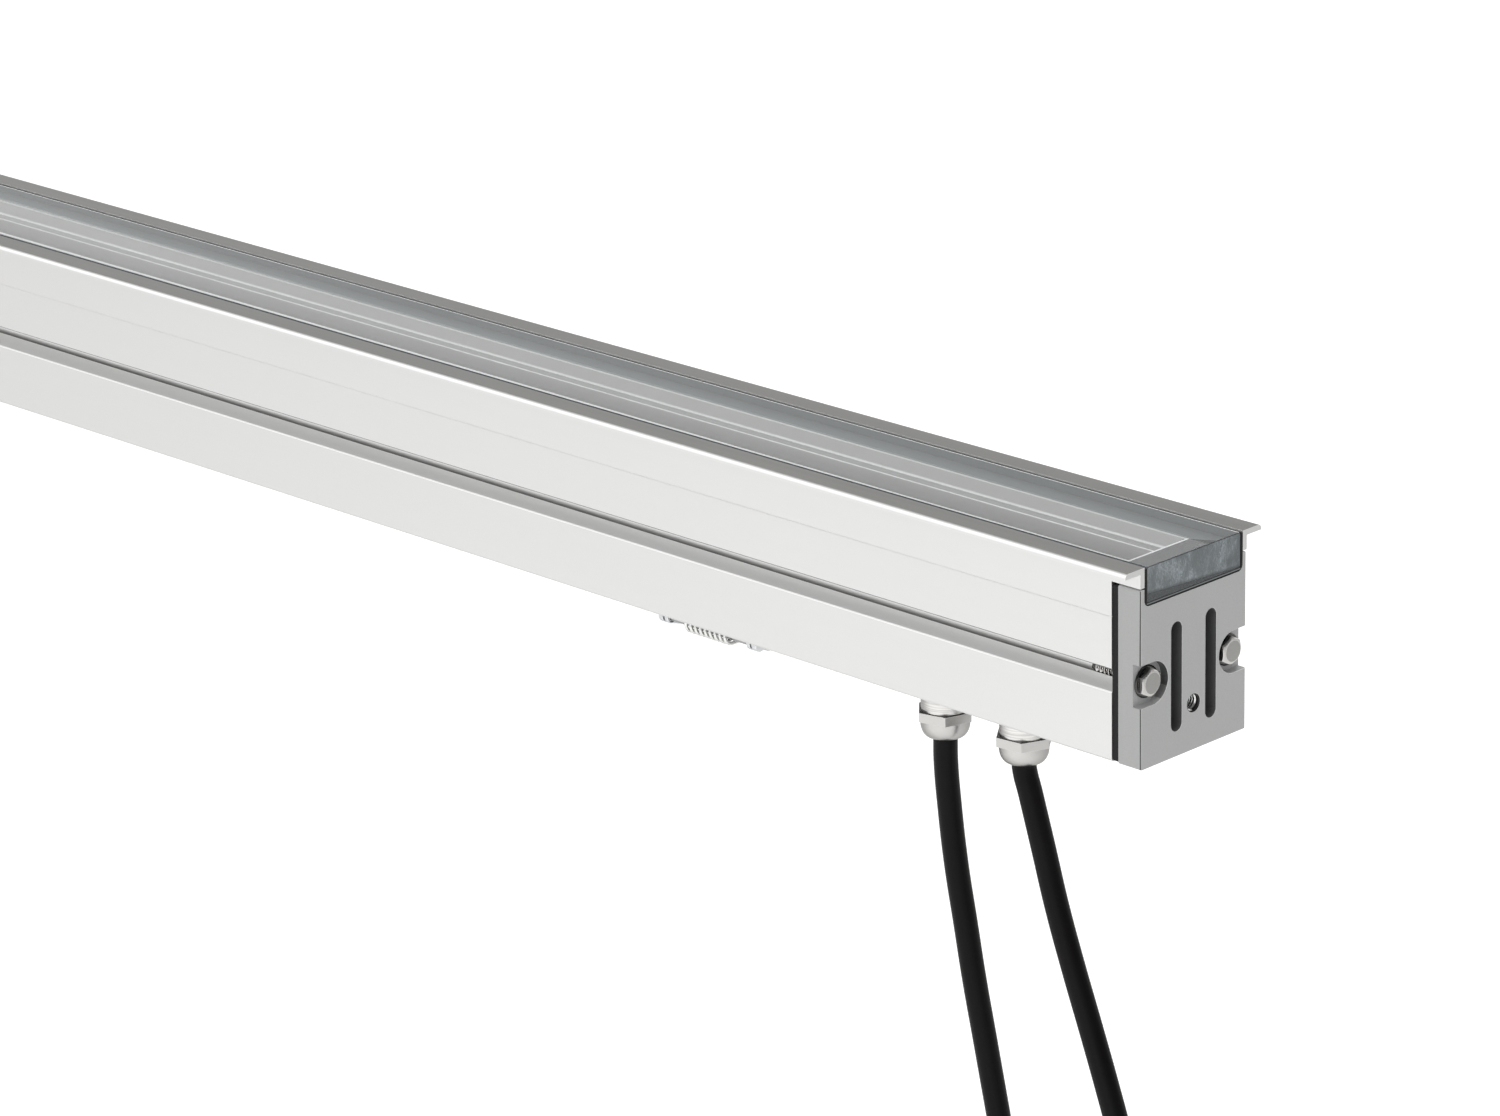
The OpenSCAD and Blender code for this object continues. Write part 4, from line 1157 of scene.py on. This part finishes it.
def gland_collar():
    return turned([
        (GLAND_BORE_R, COLLAR_TOP + GLAND_THREAD_L),
        (GLAND_THREAD_R - 0.1, COLLAR_TOP + GLAND_THREAD_L), (GLAND_THREAD_R, COLLAR_TOP),
        (COLLAR_R - 0.25, COLLAR_TOP), (COLLAR_R, COLLAR_TOP - 0.3),
        (COLLAR_R, HEX_TOP + SEAM), (GLAND_NECK_R, HEX_TOP + SEAM), (GLAND_NECK_R, HEX_TOP - 1),
        (GLAND_BORE_R, HEX_TOP - 1), (GLAND_BORE_R, COLLAR_TOP + GLAND_THREAD_L),
    ])


def gland_dome():
    spring_z = HEX_LOW - DOME_STRAIGHT
    outline = [(DOME_BORE_R, HEX_LOW + 1), (DOME_R, HEX_LOW + 1), (DOME_R, spring_z)]
    for step in range(1, DOME_STEPS):
        angle = math.pi/2*step/DOME_STEPS
        outline.append((
            MOUTH_R + (DOME_R - MOUTH_R)*math.cos(angle),
            spring_z - (spring_z - EXIT_Z)*math.sin(angle),
        ))
    outline += [
        (MOUTH_R - 0.1, EXIT_Z), (DOME_BORE_R + 0.15, EXIT_Z + 0.12),
        (DOME_BORE_R, EXIT_Z + 0.45), (DOME_BORE_R, HEX_LOW + 1),
    ]
    return turned(outline, 56)


def glands():
    finishes = [nickel, nickel_shade]
    bodies = bmesh.new()
    nuts = bmesh.new()
    for x, turn in GLANDS:
        stand = Matrix.Translation(mm(x, 0, 0))
        add_to(bodies, gland_collar(), stand)
        nut = hexagon(GLAND_FLATS, HEX_LOW, HEX_TOP, turn)
        soften(nut, HEX_ROUND)
        paint(nut, finishes, lambda face: nickel_shade if face.normal.z > 0.9 else nickel)
        add_to(nuts, nut, stand)
        add_to(nuts, gland_dome(), stand)
    add_piece(bodies, "gland_collars", LIGHT, "nickel_plate", nickel, "gland_bodies", outward=False)
    add_piece(
        nuts, "gland_dome_nuts", LIGHT, "nickel_plate", finishes, "gland_nuts", outward=False
    )


glands()


# Springs: smooth round wire on the same path, from a leg on the bracket to one on the catch

CATCH_X = 299.0
PIN_Z = -71.5
COIL_MID_R = 2.4
COIL_TURNS = 8.25
COIL_PITCH = 2.2
COIL_STEPS = 24
WIRE_R = 0.6
LEG_TOP = 9.8
LEG_FOOT = 0.6
LEG_REACH = 13


def spring_path(centre, half):
    """The wire's path: a leg up, the turns about X, and a leg along Y."""
    path = [centre + mm(-half, -COIL_MID_R, LEG_TOP), centre + mm(-half, -COIL_MID_R, LEG_FOOT)]
    steps = round(COIL_TURNS*COIL_STEPS)
    for step in range(steps + 1):
        share = step/steps
        angle = math.pi + FULL_TURN*COIL_TURNS*share
        path.append(centre + mm(
            -half + 2*half*share, COIL_MID_R*math.cos(angle), COIL_MID_R*math.sin(angle)
        ))
    return path + [path[-1] + mm(0, 1, 0), path[-1] + mm(0, LEG_REACH, 0)]


def as_mesh(drawn, name):
    """The same piece as a mesh."""
    mesh = bpy.data.meshes.new_from_object(
        drawn.evaluated_get(bpy.context.evaluated_depsgraph_get())
    )
    mesh.name = name
    bpy.data.objects.remove(drawn)
    return new_object(name, mesh)


def springs():
    half = COIL_TURNS*COIL_PITCH/2
    for side, way in ENDS.items():
        centre = mm(way*CATCH_X, 0, PIN_Z)
        drawn = wire("spring_path_" + side, spring_path(centre, half), WIRE_R, 3, spring_steel)
        coil = as_mesh(drawn, "round_spring_" + side)
        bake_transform(coil)
        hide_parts("spring_" + side)


springs()


# Leads inside, each in its colour

TERMINAL_X = 347
WAY_Y = 8.65


def islands(bm):
    """The loose parts of a mesh, each a list of its faces."""
    left = set(bm.faces)
    found = []
    for first in bm.faces:
        if first in left:
            left.remove(first)
            reached = [first]
            for face in reached:
                near = {other for edge in face.edges for other in edge.link_faces} & left
                left -= near
                reached += near
            found.append(reached)
    return found


def least(faces, axis):
    """The lowest place that the faces reach along an axis."""
    return min(vert.co[axis] for face in faces for vert in face.verts)


def coloured_leads(node, colours, axis):
    """A copy of a node's leads, coloured in their order along an axis."""
    bm = merged(node)
    leads = sorted(islands(bm), key=lambda faces: least(faces, axis))
    for index, faces in enumerate(leads):
        for face in faces:
            face.material_index = index
    add_piece(bm, node + "_coloured", LIGHT, "lead_insulation", colours, node, smooth=70)


def fanned_leads(node, gland_x):
    """Three leads that run apart from a gland to the terminals, coloured by their side."""
    finishes = [lead_brown, lead_green, lead_blue]
    side = WAY_Y/2/(gland_x - TERMINAL_X)

    def by_lean(face):
        middle = face.calc_center_median()/MM
        lean = middle.y/max(gland_x - middle.x, 2)
        return lead_brown if lean > side else lead_blue if lean < -side else lead_green

    bm = merged(node)
    paint(bm, finishes, by_lean)
    add_piece(bm, node + "_coloured", LIGHT, "lead_insulation", finishes, node, smooth=70)


fanned_leads("supply_leads", GLANDS[0][0])
fanned_leads("link_leads", GLANDS[1][0])
coloured_leads("driver_leads", [lead_blue, lead_brown], 1)
coloured_leads("led_leads", [lead_red, lead_black], 0)


# Chips: white packages with a yellow field on top

CHIP_RIM = 0.4
CHIP_DEPTH = 0.1


def chips():
    bm = merged("led_chips")
    tops = [face for face in bm.faces if face.normal.z > 0.9]
    bmesh.ops.inset_individual(bm, faces=tops, thickness=CHIP_RIM*MM, depth=-CHIP_DEPTH*MM)
    for face in tops:
        face.material_index = 1
    add_piece(bm, "lit_packages", LIGHT, "led_yellow", [package, phosphor], "led_chips")


chips()


# Socket screws of the boards and brackets

def socket_screw(head_r, head_h, socket_r, shank_r, shank_l):
    """A round head with a hexagon socket, on a plain shank; the head's top is at +Z."""
    bm = turned([
        (0, -shank_l), (shank_r, -shank_l), (shank_r, 0), (head_r - 0.1, 0), (head_r, 0.1),
        (head_r, head_h*0.6), (head_r*0.86, head_h*0.92), (head_r*0.6, head_h),
        (socket_r, head_h), (socket_r, head_h*0.35), (0, head_h*0.3),
    ])
    for vert in bm.verts:
        flat = Vector((vert.co.x, vert.co.y))
        if abs(flat.length - socket_r*MM) < 1e-7:
            turn = math.atan2(flat.y, flat.x)%(math.pi/3) - math.pi/6
            flat *= math.cos(math.pi/6)/math.cos(turn)
            vert.co.x, vert.co.y = flat
    return bm


def reaches(node):
    """The middle, lowest and highest place of each of a node's loose parts, in mm."""
    bm = merged(node)
    found = []
    for faces in islands(bm):
        verts = [vert.co for face in faces for vert in face.verts]
        low = [min(co[k] for co in verts)/MM for k in range(3)]
        high = [max(co[k] for co in verts)/MM for k in range(3)]
        found.append(((low[0] + high[0])/2, (low[1] + high[1])/2, low[2], high[2]))
    bm.free()
    return found


def socket_screws(name, node, head_h, from_below=False, **shape):
    """A socket screw for each one of the node, with its head where the node's head ends."""
    whole = bmesh.new()
    for x, y, low, high in reaches(node):
        seat = mm(x, y, low + head_h if from_below else high - head_h)
        flip = Matrix.Rotation(math.pi if from_below else 0, 4, "X")
        add_to(whole, socket_screw(head_h=head_h, **shape), Matrix.Translation(seat) @ flip)
    add_piece(whole, name, LIGHT, "stainless_steel", stainless, node, outward=False)


socket_screws(
    "board_socket_screws", "board_screws", 1.4, head_r=2.2, socket_r=0.9, shank_r=1.25,
    shank_l=3.6,
)
socket_screws(
    "bracket_socket_screws", "bracket_screws", 1.8, from_below=True, head_r=3.2, socket_r=1.3,
    shank_r=1.6, shank_l=3.9,
)


# Pieces that only get round edges: body, slot, finish and width of the rounding

ROUNDED = {
    "catch_brackets": (LIGHT, "catch_steel", catch_steel, 0.2),
    "catch_right": ("right_catch", "catch_steel", catch_steel, 0.2),
    "catch_left": ("left_catch", "catch_steel", catch_steel, 0.2),
    "driver_case": (LIGHT, "white_plastic", white_plastic, 0.25),
    "driver_lid": (LIGHT, "lid_aluminium", lid_sheet, 0.25),
    "terminal_block": (LIGHT, "white_plastic", white_plastic, 0.25),
    "board_plug": (LIGHT, "ivory_plastic", ivory, 0.25),
}
for node, (body, slot, material, width) in ROUNDED.items():
    add_piece(softened(node, width), node + "_rounded", body, slot, material, node)


# Pins, with bright domed heads and a thin waist inside the coil

PIN_END = 22.3
PIN_HEAD = 21.5
PIN_HEAD_R = 2.1
PIN_R = 1.5
PIN_WAIST = 18
PIN_WAIST_R = 1.1


def pins():
    finishes = [pin_steel, catch_steel]
    outline = [
        (0, -PIN_END), (PIN_R, -PIN_END), (PIN_HEAD_R - 0.1, 0.2 - PIN_END),
        (PIN_HEAD_R, 0.5 - PIN_END), (PIN_HEAD_R, -PIN_HEAD), (PIN_R, -PIN_HEAD),
        (PIN_R, -PIN_WAIST), (PIN_WAIST_R, 0.2 - PIN_WAIST),
    ]
    outline += [(radius, -height) for radius, height in reversed(outline)]
    whole = bmesh.new()
    for way in ENDS.values():
        pin = turned(outline, 32)
        paint(pin, finishes, lambda face: (
            catch_steel if abs(placed(face)[2]) > PIN_HEAD - 0.05 else pin_steel
        ))
        add_to(whole, pin, laid(way*CATCH_X, 0, PIN_Z))
    add_piece(whole, "headed_pins", LIGHT, "pin_steel", finishes, "catch_pins", outward=False)


pins()


# Nodes whose shape is right keep it and get their finish

KEPT = {
    rubber: ["glass_seal", "end_gasket_right", "end_gasket_left", "gland_seals", "gland_rings"],
    reflector: ["reflector_ends"],
    board_white: ["led_boards"],
    lens_resin: ["lens_bars"],
    stainless: ["driver_screws"],
    brass: ["terminal_screws"],
    nickel: ["gland_lock_nuts"],
    sheath: ["cable_ends_inside"],
}


def dress(node, material):
    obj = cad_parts[node]
    if not obj.material_slots:
        obj.data.materials.append(material)
    for slot in obj.material_slots:
        slot.material = material


for material, nodes in KEPT.items():
    for node in nodes:
        dress(node, material)


# Floor, backdrop and lamps

def white_for_view(tree, plain, seen_as, gloss=True):
    """One strength where the camera or, if asked, a gloss or a glass looks, else the plain one."""
    path = tree.nodes.new("ShaderNodeLightPath")
    seen = path.outputs["Is Camera Ray"]
    if gloss:
        seen = math_node(tree, "MAXIMUM", seen, path.outputs["Is Glossy Ray"])
        seen = math_node(tree, "MAXIMUM", seen, path.outputs["Is Transmission Ray"])
    return mixed(tree, seen, plain, seen_as)


HORIZON = 0.12
OVERHEAD = 0.8
DARK = (0.78, 0.10, 0.62)


def make_world():
    """White at and under the horizon, dimmer overhead; the camera sees white all round."""
    world = bpy.data.worlds.new("studio")
    bpy.context.scene.world = world
    world.use_nodes = True
    tree = world.node_tree
    background = tree.nodes["Background"]
    background.inputs["Color"].default_value = (1, 1, 1, 1)
    direction = tree.nodes.new("ShaderNodeTexCoord").outputs["Generated"]
    height = toward(tree, direction, UP)
    reflected = spread(tree, height, HORIZON, OVERHEAD, 1.0, 0.35)
    light = spread(tree, height, HORIZON, OVERHEAD, 0.85, 0.55)
    dark_patch = spread(tree, toward(tree, direction, DARK), 0.45, 0.75, 1.0, 0.15)
    glossy = white_for_view(tree, light, math_node(tree, "MULTIPLY", reflected, dark_patch))
    tree.links.new(white_for_view(tree, glossy, 1.0, gloss=False), background.inputs["Strength"])


FLOOR_HALF = 14
FLOOR_GAP = 0.001
FLOOR_GLOW = 0.40
FLOOR_LIT_TOWARD = (0.25, -0.97, 0)


def make_floor():
    """A pale floor that the camera sees as white, and polished faces as lit in front."""
    bm = bmesh.new()
    bmesh.ops.create_grid(bm, x_segments=1, y_segments=1, size=FLOOR_HALF)
    bmesh.ops.translate(bm, vec=(0, 0, cad_bounds[0][2] - FLOOR_GAP), verts=bm.verts)
    mesh = bpy.data.meshes.new("floor")
    bm.to_mesh(mesh)
    bm.free()
    floor = new_object("floor", mesh)
    finish = Finish("floor white", (0.90, 0.90, 0.90), 0.9, emission_color=(1, 1, 1))
    tree = finish.tree
    forward = toward(tree, object_place(tree), FLOOR_LIT_TOWARD)
    glossy = white_for_view(tree, 0.0, spread(tree, forward, 0.05, 0.75, 0.0, 0.28))
    finish.feed("Emission Strength", white_for_view(tree, glossy, FLOOR_GLOW, gloss=False))
    mesh.materials.append(finish.material)


def soft_lamp(name, place, target, size, power):
    data = bpy.data.lights.new(name, "AREA")
    data.shape = "DISK"
    data.size = size
    data.energy = power
    lamp = new_object(name, data)
    aim = (Vector(target) - Vector(place)).to_track_quat("-Z", "Y")
    lamp.matrix_world = Matrix.Translation(place) @ aim.to_matrix().to_4x4()


make_world()
make_floor()
soft_lamp("key", (0.8, -2.4, 1.35), (0.2, 0, -0.05), 1.6, 22)
soft_lamp("top", (0.3, 0.3, 2.4), (0.1, 0, 0), 1.4, 26)
bpy.context.scene.view_settings.view_transform = "Standard"
